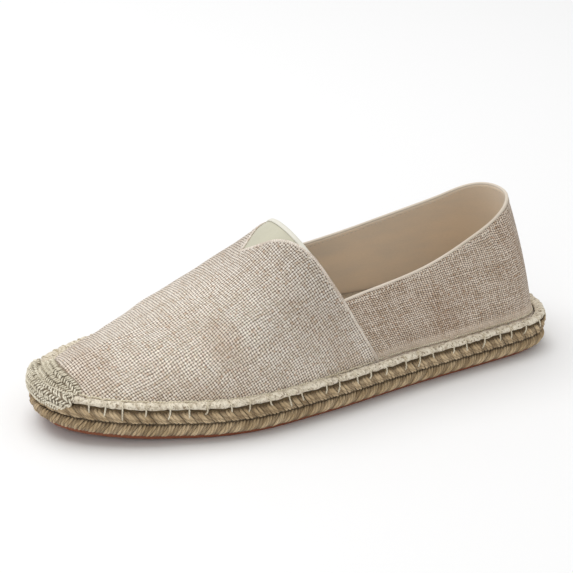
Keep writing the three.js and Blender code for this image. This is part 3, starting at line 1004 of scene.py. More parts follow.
@dataclass(frozen=True)
class Fuzz:
    """Cloth rolled with its raw threads out: cream with brown flecks and loose fibres."""

    name: str
    light: Colour
    dull: Colour
    fleck: Colour
    relief: float = 0.5

    def material(self) -> bpy.types.Material:
        """Builds the cloth's material.

        Returns:
            The material.
        """
        nodes = Nodes(self.name)
        u, v = nodes.cloth()
        place = nodes.place()
        lay = nodes.vector(u + v * 2.6, v * 5.0)
        threads = nodes.noise(lay, 1.1, 3.0, 0.65)
        lumps = nodes.noise(place, 420.0, 3.0, 0.6)
        flecks = nodes.noise(place, 800.0, 2.0, 0.6)
        base = nodes.mix(self.dull, self.light, nodes.between(threads * 0.5 + lumps * 0.5, 0.36, 0.58))
        colour = nodes.mix(base, self.fleck, nodes.between(flecks, 0.55, 0.66) * 0.8)
        return nodes.surface(colour, 0.95, threads * 0.6 + lumps * 0.8, self.relief, 0.2, 0.2)


@dataclass(frozen=True)
class Rubber:
    """Thin moulded rubber with fine dust in its grain."""

    name: str
    colour: Colour
    dusty: Colour

    def material(self) -> bpy.types.Material:
        """Builds the rubber's material.

        Returns:
            The material.
        """
        nodes = Nodes(self.name)
        place = nodes.place()
        dust = nodes.noise(place, 90.0, 4.0, 0.65)
        grain = nodes.noise(place, 1500.0, 2.0)
        colour = nodes.mix(self.colour, self.dusty, nodes.between(dust, 0.45, 0.8) * 0.5)
        return nodes.surface(colour, 0.6 + dust * 0.25, grain, 0.12, 0.0, 0.4)


@dataclass(frozen=True)
class PlainWoven:
    """A fine plain cloth on a flat piece, patterned by its place."""

    name: str
    colour: Colour
    other: Colour
    pitch: float = 0.9

    def material(self) -> bpy.types.Material:
        """Builds the cloth's material.

        Returns:
            The material.
        """
        nodes = Nodes(self.name)
        parts = nodes.add("ShaderNodeSeparateXYZ", None, {0: nodes.place()})
        wave = [
            nodes.maths("SINE", Value(nodes, parts.outputs[k]) * (math.pi / (self.pitch * MM)))
            for k in (0, 1)
        ]
        weave = wave[0] * wave[1] * 0.5 + 0.5
        worn = nodes.noise(nodes.place(), 35.0, 3.0)
        colour = nodes.mix(self.colour, self.other, nodes.between(worn, 0.35, 0.7))
        return nodes.surface(nodes.tone(colour, 0.86 + weave * 0.2), 0.92, weave, 0.1, 0.2, 0.2)


LINEN = Weave(
    "linen", (0.95, 0.87, 0.77, 1), (0.76, 0.66, 0.54, 1), (0.46, 0.29, 0.17, 1), (0.13, 0.075, 0.04, 1)
)
QUARTER_LINEN = Weave(
    "quarter_linen",
    (0.86, 0.73, 0.6, 1),
    (0.56, 0.43, 0.31, 1),
    (0.37, 0.2, 0.1, 1),
    (0.06, 0.03, 0.015, 1),
    pitch=1.16,
    relief=0.42,
)
FOLD_LINEN = Weave(
    "fold_linen",
    (0.84, 0.77, 0.68, 1),
    (0.68, 0.6, 0.51, 1),
    (0.5, 0.37, 0.26, 1),
    (0.3, 0.21, 0.14, 1),
    pitch=0.95,
    relief=0.15,
    painted_shade_share=0.45,
)
HEM_LINEN = Fuzz("hem_linen", (0.82, 0.75, 0.61, 1), (0.5, 0.42, 0.3, 1), (0.2, 0.14, 0.08, 1))
LINING = SmoothCloth("lining", (0.88, 0.74, 0.58, 1), (0.78, 0.68, 0.56, 1))
EDGE_TAPE = SmoothCloth(
    "edge_tape", (0.7, 0.62, 0.52, 1), (0.6, 0.52, 0.42, 1), rib=0.7, relief=0.08
)
ELASTIC = SmoothCloth(
    "elastic", (0.58, 0.56, 0.44, 1), (0.54, 0.52, 0.41, 1), rib=0.45, relief=0.05
)
ELASTIC_EDGE = SmoothCloth(
    "elastic_edge", (0.76, 0.74, 0.65, 1), (0.7, 0.68, 0.59, 1), rib=0.6, relief=0.05
)
SEWING = Twist(
    "sewing", (0.85, 0.79, 0.69, 1), (0.75, 0.68, 0.58, 1), (0.3, 0.22, 0.15, 1),
    lay=0.8, relief=0.08, grain=0.2
)
CORD = Twist(
    "cord", (0.84, 0.77, 0.61, 1), (0.66, 0.58, 0.43, 1), (0.2, 0.15, 0.09, 1),
    lay=1.4, relief=0.15, grain=0.4
)
THREAD = Twist(
    "thread", (0.96, 0.9, 0.74, 1), (0.75, 0.69, 0.54, 1), (0.22, 0.16, 0.1, 1),
    lay=1.6, relief=0.15, grain=0.5
)
JUTE = Twist(
    "jute", (0.66, 0.51, 0.32, 1), (0.46, 0.335, 0.19, 1), (0.08, 0.045, 0.02, 1),
    lay=5.0, relief=0.3, grain=0.8
)
# The core's colours are darker than the yarns': painted shade for the gaps it shows through.
JUTE_CORE = Twist(
    "jute_core", (0.46, 0.35, 0.2, 1), (0.34, 0.25, 0.14, 1), (0.16, 0.11, 0.06, 1)
)
# Red-brown rubber, its colour darkened as painted shade for the shadow under the sole's edge.
OUTSOLE = Rubber("outsole_rubber", (0.27, 0.085, 0.04, 1), (0.3, 0.14, 0.08, 1))
INSOLE = PlainWoven("insole_cloth", (0.5, 0.42, 0.31, 1), (0.42, 0.35, 0.26, 1))


class Work:
    """A mesh in the making, laid in millimetres from sheets and cords."""

    def __init__(self, name: str) -> None:
        """Starts an empty mesh with its own map and a layer for painted shade.

        Args:
            name: the piece's name.
        """
        self.name = name
        self.mesh = bmesh.new()
        self.uv = self.mesh.loops.layers.uv.new("cloth")
        self.shade = self.mesh.verts.layers.float.new("shade")

    def sheet(self, points: Array, uv: Array, shade: Array | float = 1.0) -> None:
        """Lays a sheet.

        Args:
            points: places in millimetres, two axes along the sheet and a last one for X, Y and Z.
            uv: the piece's own map at the same places, in millimetres.
            shade: painted shade, how open each place is, from 0 to 1.
        """
        count_u, count_v = points.shape[:2]
        shades = np.broadcast_to(shade, (count_u, count_v))
        made = bmesh.ops.create_grid(self.mesh, x_segments=count_u - 1, y_segments=count_v - 1, size=1.0)
        for vert in made["verts"]:
            i = round((vert.co.x + 1) / 2 * (count_u - 1))
            j = round((vert.co.y + 1) / 2 * (count_v - 1))
            vert.co = Vector(points[i, j]) * MM
            vert[self.shade] = float(shades[i, j])
            for loop in vert.link_loops:
                loop[self.uv].uv = uv[i, j] / UV_UNIT

    def cord(
        self,
        path: Array,
        radius: Array,
        across: Array,
        sides: int = 6,
        flat: float = 1.0,
        shade: Array | float = 1.0,
    ) -> None:
        """Lays a cord along a path.

        Args:
            path: places of its middle, in millimetres.
            radius: its radius at each place, 0 where it closes.
            across: a direction that never runs along the path, one for all or one for each place.
            sides: flat faces round the cord.
            flat: height of its section as a share of the width.
            shade: painted shade, how open each place is.
        """
        tangent = np.gradient(path, axis=0)
        closed = np.allclose(path[0], path[-1])
        if closed:
            tangent[0] = tangent[-1] = path[1] - path[-2]
        tangent = unit(tangent)
        first = unit(across - tangent * np.sum(across * tangent, 1, keepdims=True))
        second = np.cross(tangent, first)
        turn = np.linspace(0, 2 * math.pi, sides + 1)[None, :, None]
        ring = first[:, None] * np.cos(turn) + second[:, None] * np.sin(turn) * flat
        round_it = np.linspace(0, 1, sides + 1)[None, :]
        uv = np.stack(np.broadcast_arrays(travelled(path)[:, None], round_it), -1)
        shades = np.repeat(np.broadcast_to(shade, len(path))[:, None], sides + 1, 1)
        self.sheet(path[:, None] + ring * np.asarray(radius)[:, None, None], uv, shades)

    def weld(self) -> None:
        """Joins the places that lie on each other and drops what that leaves flat."""
        bmesh.ops.remove_doubles(self.mesh, verts=self.mesh.verts, dist=1e-7)
        bmesh.ops.dissolve_degenerate(self.mesh, dist=1e-8, edges=self.mesh.edges)

    def face_out(self, centre: Place | None = None) -> None:
        """Turns the faces out: of a closed form, or of an open sheet away from a centre in millimetres.

        Args:
            centre: a place behind an open sheet, in millimetres.
        """
        if centre is None:
            bmesh.ops.recalc_face_normals(self.mesh, faces=self.mesh.faces)
            return
        middle = Vector(centre) * MM
        self.mesh.normal_update()
        facing = sum(f.normal.dot(f.calc_center_median() - middle) * f.calc_area() for f in self.mesh.faces)
        if facing < 0:
            bmesh.ops.reverse_faces(self.mesh, faces=self.mesh.faces)

    def piece(
        self,
        material: bpy.types.Material,
        slot: str,
        replaces: tuple[str, ...] = (),
        thickness: float = 0.0,
    ) -> bpy.types.Object:
        """slot: not used. the record's material slot.
            replaces: solids that it stands for.
            thickness: how thick its sheet becomes, inwards, in millimetres.

        Returns:
            The object.
        """
        data = bpy.data.meshes.new(self.name)
        self.mesh.to_mesh(data)
        self.mesh.free()
        data.materials.append(material)
        data.polygons.foreach_set("use_smooth", [True] * len(data.polygons))
        piece = bpy.data.objects.new(self.name, data)
        bpy.context.scene.collection.objects.link(piece)
        if thickness:
            wall = piece.modifiers.new("wall", "SOLIDIFY")
            wall.thickness = thickness * MM
            wall.offset = -1.0
            wall.use_even_offset = True
        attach(piece, "root")
        if replaces:
            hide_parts(*replaces)
        log.info("%s: %d faces", self.name, len(data.polygons))
        return piece

    def closed_piece(self, material: bpy.types.Material, slot: str, replaces: tuple[str, ...] = ()) -> None:
        """Welds the mesh of a closed form, faces it outwards and ends it as an object of the shoe.

        Args:
            material: its material.
            slot: passed on to piece, which does not use it.
            replaces: the nodes that it stands for.
        """
        self.weld()
        self.face_out()
        self.piece(material, slot, replaces)


def grain_map(points: Array, rise: float) -> Array:
    """A cloth's own map on a vamp: threads run along the ridge and square to it.

    Args:
        points: the vamp's lines, each from one foot over the ridge to the other.
        rise: slope of the ridge, in radians.

    Returns:
        The map, in millimetres.
    """
    along = np.array([-math.cos(rise), 0, math.sin(rise)])
    over = np.gradient(points, axis=1)
    down = np.gradient(points, axis=0)
    across = unit(np.cross(unit(np.cross(over, down)), along))
    step = np.diff(points, axis=1)
    girth = running_sum(np.sum(step * (across[:, 1:] + across[:, :-1]) / 2, 2))
    ridge = points.shape[1] // 2
    girth -= girth[:, ridge : ridge + 1]
    return np.stack([points @ along, girth], -1)


def length_map(points: Array) -> Array:
    """A sheet's own map: length along its first axis at mid-height, and length up each line.

    Args:
        points: the sheet's points, as an array of lines.

    Returns:
        The two coordinates of each point, in millimetres.
    """
    along = travelled(points[:, points.shape[1] // 2])
    height = running_sum(step_lengths(points))
    return np.stack([np.broadcast_to(along[:, None], height.shape), height], -1)


class Face:
    """The face of a laid sheet, on which lines are placed, in millimetres."""

    def __init__(self, points: Array, middle: Place) -> None:
        """Holds the face of a sheet and a place inside it.

        Args:
            points: the sheet's points, as an array of lines.
            middle: a place behind the sheet, in millimetres.
        """
        work = Work("face")
        work.sheet(points, points[..., :2])
        work.weld()
        self.middle = Vector(middle) * MM
        self.tree = BVHTree.FromBMesh(work.mesh)
        work.mesh.free()

    def below(self, plan: Array) -> Array:
        """Places of the face straight below points of the plan.

        Args:
            plan: the points' two coordinates on the floor.

        Returns:
            A place for each point.
        """
        down = Vector((0, 0, -1))
        hits = [self.tree.ray_cast(Vector((x * MM, y * MM, 1.0)), down)[0] for x, y in plan]
        return np.array([tuple(hit) for hit in hits]) / MM

    def outward(self, line: Array) -> Array:
        """Directions out of the face at the places nearest to a line.

        Args:
            line: the points of the line.

        Returns:
            A direction for each point, of length 1.
        """
        normals = []
        for place in line:
            near, normal = self.tree.find_nearest(Vector(place) * MM)[:2]
            normals.append(tuple(normal if normal.dot(near - self.middle) > 0 else -normal))
        smooth = np.array(normals)
        smooth[1:-1] = smooth[:-2] + smooth[1:-1] + smooth[2:]
        return unit(smooth)


@dataclass(frozen=True)
class StitchRow:
    """A row of short stitches that lie on a cloth, in millimetres."""

    pitch: float = 2.9
    length: float = 2.1
    radius: float = 0.3
    slant: float = 0.0
    lift: float = 0.22
    uneven: float = 0.12
    reach: float = 0.6
    sunk: float = 0.7
    steps: int = 6

    def lay(self, work: Work, line: Array, outward: Array) -> None:
        """Lays the row.

        Args:
            work: the mesh that takes the stitches.
            line: places along the row.
            outward: the direction out of the cloth at each of them.
        """
        along = travelled(line)
        t = np.linspace(-0.5, 0.5, self.steps + 1)
        arch = self.lift * np.cos(math.pi * t) - self.radius * self.sunk
        radius = closing(self.radius * np.cos(math.pi * t * 0.9) ** 0.4)
        for k in range(int(along[-1] / self.pitch)):
            where = (k + 0.5 + self.uneven * jitter(k * 1.9, self.pitch)) * self.pitch
            near = where + self.reach * np.array([-1, 0, 1])
            places = np.stack([np.interp(near, along, line[:, i]) for i in range(3)], -1)
            out = np.array([np.interp(where, along, outward[:, i]) for i in range(3)])
            tangent = unit(places[2] - places[0])
            slant = self.slant + self.uneven * jitter(k * 2.7, self.length)
            heading = tangent * math.cos(slant) + np.cross(out, tangent) * math.sin(slant)
            path = places[1] + np.outer(t * self.length, heading) + np.outer(arch, out)
            work.cord(path, radius, out)


@dataclass
class Vamp:
    """The front of the upper, with the elastic in its notch."""

    last: LastForm
    ways: int = 150
    rows: int = 64
    cloth: float = 0.85
    ridge_rise: float = 0.47
    throat_painted_shade: float = 0.22
    throat_start: float = 0.4
    throat_side: float = 0.5
    lining: float = 0.5
    lining_margin: float = 0.6
    gore_depth: float = 0.55
    gore_tuck: float = 2.0
    gore_cloth: float = 0.9
    edge_ways: tuple[float, float, float] = (-0.004, 0, 0.002)
    edge_rows: int = 90
    fold_radius: float = 0.42
    fold_width: float = 2.0
    fold_inset: float = 0.55
    fold_sunk: float = 0.2
    seam_inset: float = 2.6
    seam: StitchRow = StitchRow(2.8, 2.0, 0.26)
    bound_depth: float = 0.6
    bound_rows: int = 60
    bound_radius: float = 0.5
    bound_width: float = 2.4
    bound_reach: float = 1.0

    @property
    def tip(self) -> tuple[float, float]:
        """The notch's point, in plan.

        Returns:
            Its place along the shoe and across it.
        """
        at = np.array([LAST["spine"][5]])
        x = float(self.last.sole.station_x(at)[0]) + self.last.notch_length
        return x, float(self.last.sole.middle_y(at)[0]) - self.last.notch_shift

    def walls(self, margin: float) -> tuple[Array, Array]:
        """The notch's two flanks and, behind the throat, its two sides, in plan.

        Args:
            margin: how far they are drawn in.

        Returns:
            A point of each wall, and the direction out of the notch across it.
        """
        tip = np.array(self.tip)
        back = self.last.notch_length + self.last.notch_corner_drop
        points, outs = [], []
        for side in Side:
            spread = self.last.notch_half_width + side.value * self.last.notch_shift
            flank = np.array([spread, side.value * self.last.notch_length])
            corner = tip + np.array([-back, side.value * back * spread / self.last.notch_length])
            outs += [flank / np.linalg.norm(flank), np.array([0, side.value])]
            points += [tip, corner]
        return np.array(points) - np.array(outs) * margin, np.array(outs, float)

    def clearance(self, places: Array, margin: float) -> Array:
        """How far places lie outside the notch in plan, less than 0 inside it."""
        points, outs = self.walls(margin)
        return np.max(np.sum((places[..., None, :2] - points) * outs, -1), -1)

    def cut_notch(self, work: Work, keep_inside: bool, margin: float) -> None:
        """Cuts the notch out of a vamp's mesh, or keeps only what is inside it.

        Args:
            work: the mesh.
            keep_inside: whether the notch's own cloth is what stays.
            margin: how far outside the notch the cut runs.
        """
        for point, out in zip(*self.walls(margin)):
            everything = [*work.mesh.verts, *work.mesh.edges, *work.mesh.faces]
            place = Vector((*point, 0)) * MM
            bmesh.ops.bisect_plane(work.mesh, geom=everything, plane_co=place, plane_no=(*out, 0), dist=1e-7)
        faces = list(work.mesh.faces)
        centres = np.array([face.calc_center_median() for face in faces]) / MM
        inside = (self.clearance(centres, margin) < 0) & (centres[:, 2] > self.last.instep_height / 2)
        gone = [face for face, within in zip(faces, inside) if within != keep_inside]
        bmesh.ops.delete(work.mesh, geom=gone, context="FACES")

    def face(self, depth: float, soft: bool) -> Array:
        """Places of the vamp's face at a depth."""
        return self.last.vamp_section(np.linspace(0, 1, self.ways + 1), depth, self.rows, soft)

    def sheet(self, name: str, depth: float, soft: bool = False) -> Work:
        """The vamp's face at a depth, as a mesh with painted shade that darkens it towards the throat.

        Args:
            name: the mesh's name.
            depth: how deep under the face.
            soft: whether its creases are pressed in.

        Returns:
            The mesh.
        """
        points = self.face(depth, soft)
        # Painted shade, darker towards the throat and up towards the ridge, kept in the shade attribute.
        back = (np.linspace(0, 1, points.shape[0]) - self.throat_start) / (1 - self.throat_start)
        up = (1 - np.abs(np.linspace(-1, 1, points.shape[1]))) / self.throat_side
        brown = self.throat_painted_shade * np.clip(back, 0, 1)[:, None] * np.clip(up, 0, 1)[None, :]
        work = Work(name)
        work.sheet(points, grain_map(points, self.ridge_rise), 1 - brown)
        work.weld()
        return work

    def free_edge(self, face: Face, inset: float) -> Array:
        """A line beside the vamp's free edge, from the outer foot round the notch to the inner foot.

        Args:
            face: the vamp's outer face.
            inset: how far the line lies inside the edge.

        Returns:
            The line's places.
        """
        seam = self.last.edge.travel_at(Side.OUTER, self.last.seam_foot)
        way = 1 - inset / seam + np.array(self.edge_ways)
        over = self.last.vamp_section(way, 0.0, self.edge_rows, True)[1]
        ridge = len(over) // 2
        points, outs = self.walls(-inset)
        tip = np.linalg.solve(outs[::2], np.sum(outs[::2] * points[::2], 1))
        runs = []
        for half in (over[: ridge + 1], over[: ridge - 1 : -1]):
            clear = self.clearance(half, -inset)
            last = int(np.argmax((clear < 0) & (half[:, 2] > self.last.instep_height / 2)))
            share = clear[last - 1] / (clear[last - 1] - clear[last])
            corner = half[last - 1] + (half[last] - half[last - 1]) * share
            flank = face.below(corner[:2] + (tip - corner[:2]) * np.linspace(0.02, 1, 24)[:, None])
            runs.append(np.concatenate([half[:last], corner[None], flank]))
        return np.concatenate([runs[0], runs[1][-2::-1]])

    def build(self) -> None:
        """Builds the linen, its folded edge and seam, its lining and the elastic."""
        linen = self.sheet("vamp_linen", 0.0, True)
        self.cut_notch(linen, False, 0.0)
        linen.face_out(VAMP_MIDDLE)
        linen.piece(LINEN.material(), "linen", ("upper",), self.cloth)
        lining = self.sheet("vamp_lining", self.last.vamp_step + self.last.wall - self.lining)
        self.cut_notch(lining, False, -self.lining_margin)
        lining.face_out(VAMP_MIDDLE)
        lining.piece(LINING.material(), "linen", ("upper",), self.lining)
        gore = self.sheet("gore_elastic", self.gore_depth)
        self.cut_notch(gore, True, -self.gore_tuck)
        gore.face_out(VAMP_MIDDLE)
        gore.piece(ELASTIC.material(), "elastic", ("elastic_gore",), self.gore_cloth)
        self.build_edges()

    def build_edges(self) -> None:
        """The folded edge round the throat and side seams, its stitches and the elastic's bound end."""
        face = Face(self.face(0.0, True), VAMP_MIDDLE)
        fold = Work("vamp_fold")
        line = self.free_edge(face, self.fold_inset)
        outward = face.outward(line)
        radius = closing(self.fold_radius, len(line))
        fold.cord(line - outward * self.fold_sunk, radius, outward, 8, self.fold_width)
        fold.closed_piece(FOLD_LINEN.material(), "linen", ("upper",))
        seam = Work("seam_stitches")
        line = self.free_edge(face, self.seam_inset)
        self.seam.lay(seam, line, face.outward(line))
        seam.closed_piece(SEWING.material(), "thread")
        across = self.last.vamp_section(np.array([1.0]), self.bound_depth, self.bound_rows)[0]
        within = self.clearance(across, 0.0) < self.bound_reach
        end = across[within & (across[:, 2] > self.last.instep_height / 2)]
        bound = Work("elastic_edge")
        inset = np.array([self.bound_reach, 0, 0])
        radius = closing(self.bound_radius, len(end))
        bound.cord(end + inset, radius, face.outward(end), 8, self.bound_width)
        bound.closed_piece(ELASTIC_EDGE.material(), "elastic", ("elastic_gore",))


@dataclass
class Quarter:
    """The back of the upper, with its lining and its turned collar."""

    last: LastForm
    overlap: float = 0.05
    count: int = 130
    rows: int = 44
    cloth: float = 0.9
    cloth_drop: float = 0.6
    lining: float = 0.5
    lining_drop: float = 0.9
    foot_fold: float = 6.5
    edge_radius: float = 0.75
    edge_height: float = 1.15
    edge_drop: float = 0.7
    edge_lean: float = 0.1
    slanted_drop: float = 2.3
    slanted: StitchRow = StitchRow(2.3, 1.9, 0.24, 0.75)
    inside_drop: float = 2.6
    inside: StitchRow = StitchRow(2.3, 1.9, 0.22)

    def build(self) -> None:
        """Builds the linen, the lining and the collar's edge with its stitches."""
        step = self.last.vamp_step
        wall = self.last.wall
        start = 1 - self.overlap
        size = (self.count, self.rows)
        outer = self.last.quarter_sheet(start, step, self.cloth_drop, *size, True)
        inner = self.last.quarter_sheet(start, step + wall - self.lining, self.lining_drop, *size)
        for name, points, thickness, finish in (
            ("quarter_linen", outer, self.cloth, QUARTER_LINEN),
            ("quarter_lining", inner, self.lining, LINING),
        ):
            cloth = length_map(points)
            work = Work(name)
            work.sheet(points, cloth, 1 + np.exp(-((cloth[..., 1] / self.foot_fold) ** 3)))
            work.face_out(QUARTER_MIDDLE)
            work.piece(finish.material(), "linen", ("upper",), thickness)
        line = self.last.collar_line(start, step + wall / 2 - self.edge_lean, self.edge_drop, self.count)
        edge = Work("collar_edge")
        edge.cord(line, closing(self.edge_radius, len(line)), UP, 10, self.edge_height)
        edge.closed_piece(EDGE_TAPE.material(), "linen", ("upper",))
        self.build_stitches(outer, inner)

    def build_stitches(self, outer: Array, inner: Array) -> None:
        """The slanted stitches under the collar's edge, and the row that holds the lining inside.

        Args:
            outer: the outer face of the quarter.
            inner: the face of its lining.
        """
        work = Work("collar_stitches")
        step = self.last.vamp_step
        line = self.last.collar_line(1.0, step, self.slanted_drop, self.count)
        self.slanted.lay(work, line, Face(outer, QUARTER_MIDDLE).outward(line))
        line = self.last.collar_line(1.0, step + self.last.wall, self.inside_drop, self.count)
        self.inside.lay(work, line, -Face(inner, QUARTER_MIDDLE).outward(line))
        work.closed_piece(SEWING.material(), "thread")


@dataclass
class Hem:
    """The rolled hem on the sole, its running cord and its blanket stitches."""

    last: LastForm
    stitch_pitch: float = 9.6
    steps: int = 800
    sides: int = 14
    cord_radius: float = 0.5
    cord_height: float = 2.45
    cord_pitch: float = 6.4
    stitch_radius: float = 0.38
    stitch_sunk: float = 0.02
    stitch_slant: float = 3.0
    stitch_drop: float = 3.6
    stitch_uneven: float = 3.0
    cord_dip: float = 1.2
    cord_proud: float = 0.15
    roughness: float = 0.5
    lumps: float = 38.0
    pinch: float = 0.3
    pinch_width: float = 1.3
    hug: float = 1.5

    @property
    def count(self) -> int:
        """How many blanket stitches go round the sole."""
        return round(self.last.edge.length / self.stitch_pitch)

    def squeeze(self, distance: Array) -> Array:
        """How far the stitches pinch the hem, from 0 to 1.

        Args:
            distance: distances travelled along the hem.

        Returns:
            The pinch at each, from 0 to 1.
        """
        pitch = self.last.edge.length / self.count
        nearest = np.abs((distance / pitch + 0.5) % 1 - 0.5) * pitch
        return np.exp(-((nearest / self.pinch_width) ** 2))

    def build(self) -> None:
        """Builds the rolled cloth and both threads."""
        self.build_roll()
        self.build_cord()
        self.build_stitches()

    def lump(self, around: float, turn: float) -> float:
        """How lumpy the roll is, from -1 to 1, at angles round the shoe and round its section.

        Args:
            around: the angle round the shoe.
            turn: the angle round the section.

        Returns:
            The height of the lump, from -1 to 1.
        """
        far = self.lumps
        level = math.cos(turn) + math.sin(turn) * 0.7
        return noise.noise(Vector((math.cos(around) * far, math.sin(around) * far, level)))

    def build_roll(self) -> None:
        """The rolled cloth, uneven and pinched by the stitches."""
        distance = np.linspace(0, self.last.edge.length, self.steps + 1)
        turn = np.linspace(0, 2 * math.pi, self.sides + 1)
        around = distance / self.last.edge.length * 2 * math.pi
        rough = np.array([[self.lump(a, t) for t in turn] for a in around])
        proud = rough * self.roughness - self.squeeze(distance)[:, None] * self.pinch
        points = self.last.hem_point(distance[:, None], turn[None, :], proud, self.hug)
        uv = np.stack(np.broadcast_arrays(distance[:, None], turn[None, :] / (2 * math.pi)), -1)
        work = Work("hem_roll")
        work.sheet(points, uv)
        work.closed_piece(HEM_LINEN.material(), "linen", ("upper",))

    def build_cord(self) -> None:
        """The running cord in the crease between the hem and the upper."""
        half = self.steps // 2
        place = np.linspace(0, self.last.edge.length / 2, half + 1)
        dip = np.clip(np.cos(2 * math.pi * place / self.cord_pitch) - 0.6, 0, 1)
        path = self.last.wall_line(self.cord_height - dip * self.cord_dip, self.cord_proud, half)
        work = Work("running_cord")
        work.cord(path, np.full(len(path), self.cord_radius), UP)
        work.closed_piece(CORD.material(), "thread")

    def build_stitches(self) -> None:
        """The blanket stitches: each goes from the crease over the hem and down into the braid."""
        work = Work("blanket_stitches")
        edge = self.last.edge
        pitch = edge.length / self.count
        turn = np.linspace(0.86, -0.05, 9) * math.pi
        lean = np.linspace(-0.5, 0, len(turn))
        sunk = np.full(len(turn), -self.stitch_sunk)
        down = np.linspace(0.15, 1, 5)
        radius = closing(self.stitch_radius, len(turn) + len(down))
        for k in range(self.count):
            start = (k + 0.4 * jitter(k * 2.9, 7.0)) * pitch
            slant = self.stitch_slant * jitter(k * 1.7, 3.0)
            drop = self.stitch_drop + self.stitch_uneven * jitter(k * 2.1, 9.0)
            over = self.last.hem_point(start + lean * slant, turn, sunk)
            side = edge.beside(start + slant * down, 0.3 - 0.9 * down**3, self.last.sole.deck - drop * down)
            normal = edge.at(np.array([start]))[1][0]
            work.cord(np.concatenate([over, side]), radius, np.array([-normal[1], normal[0], 0]))
        work.closed_piece(CORD.material(), "thread")


@dataclass
class JuteSole:
    """The braided jute: a core with the yarns of two courses laid on its side."""

    last: LastForm
    strand_pitch: float = 6.6
    yarns: int = 4
    bulge: float = 2.4
    lean: float = 5.2
    back: float = 1.75
    crown: float = 1.1
    steps: int = 8
    core_steps: int = 180
    core_profile: tuple[tuple[float, float], ...] = (
        (3.2, 0.0),
        (1.3, 0.12),
        (1.0, 0.3),
        (2.2, 0.5),
        (1.0, 0.7),
        (1.3, 0.88),
        (3.2, 1.0),
    )

    def build(self) -> None:
        """Builds the core and the yarns."""
        self.build_core()
        self.build_yarns()

    def build_core(self) -> None:
        """The wound jute inside: its bottom, its side, set in as its profile says, and its top."""
        edge = self.last.edge
        sole = self.last.sole
        share = np.arange(self.core_steps + 1) / self.core_steps
        outer = share * edge.heel_travel
        inner = edge.length - share * (edge.length - edge.heel_travel)
        middle = (edge.station(outer) + edge.station(inner)) / 2
        spine_at = 0.5 + (middle - 0.5) * (1 - sole.ball_width / sole.length)
        spine = np.stack([sole.station_x(spine_at), sole.middle_y(spine_at)], -1)
        distance = np.concatenate([outer, inner[-2::-1]])
        spine = np.concatenate([spine, spine[-2::-1]])
        lifted = sole.lift(spine[:, 0])[:, None]
        bottom = np.concatenate([spine, lifted + sole.jute_bottom], -1)
        top = np.concatenate([spine, lifted + sole.jute_top], -1)
        sides = [
            edge.beside(distance, np.full(len(distance), -inset), sole.jute_bottom + up * sole.jute)
            for inset, up in self.core_profile
        ]
        points = np.stack([bottom, *sides, top], 1)
        work = Work("jute_core")
        # The core is painted partly in shade, with a shade attribute of 0.6.
        work.sheet(points, length_map(points) * 0.2, 0.6)
        work.closed_piece(JUTE_CORE.material(), "jute_braid", ("jute_sole",))

    def build_yarns(self) -> None:
        """The yarns: each strand dives at the groove and at the sole's face and leans to the toe."""
        edge = self.last.edge
        sole = self.last.sole
        work = Work("jute_braid")
        strands = round(edge.length / self.strand_pitch)
        pitch = edge.length / strands
        spacing = pitch / self.yarns
        middle = sole.jute_bottom + sole.jute / 2
        t = np.linspace(0, 1, self.steps + 1)
        swell = np.sin(math.pi * t)
        rise = sole.jute / 2 * (0.01 + 0.97 * t)
        radius = closing(spacing * 0.52 * np.sin(math.pi * (0.1 + 0.8 * t)) ** 0.35)
        # Painted shade: each yarn darkens towards its ends at the groove and under the hem.
        painted_light_share = np.sin(math.pi * (0.14 + 0.78 * t)) ** 0.6
        for course, reach, under_hem in ((1, 0.66, 1.5), (-1, 0.8, 0.0)):
            arch = np.sin(math.pi * (0.12 + reach * t)) ** 0.5
            fill = (1 - t) ** 2 + under_hem * t**3 - self.bulge * 1.05 * (1 - arch) - self.back
            for strand in range(strands):
                seed = strand * 1.37 + course * 40
                wide = 1 + 0.12 * jitter(seed, 1.0)
                for yarn in range(self.yarns):
                    share = (yarn + 0.5) / self.yarns - 0.5
                    wander = 0.9 * jitter(seed + yarn * 5.1, 2.0)
                    start = (strand + 0.5 + 0.5 * (course > 0)) * pitch + share * pitch * wide
                    distance = start - self.lean * t**0.9 + wander * swell
                    crown = math.cos(share * math.pi) * self.crown * swell
                    out = fill + crown + 0.4 * jitter(seed + yarn * 3.3, 5.0)
                    path = edge.beside(distance, out, middle + course * rise)
                    # Painted shade between the strands, darkest on each strand's outer yarns.
                    shade = np.clip(painted_light_share * (0.4 + 0.7 * math.cos(share * math.pi)), 0, 1)
                    normal = edge.at(np.array([start]))[1][0]
                    work.cord(path, radius, np.array([*normal, 0]), shade=shade)
        work.closed_piece(JUTE.material(), "jute_braid", ("jute_sole",))


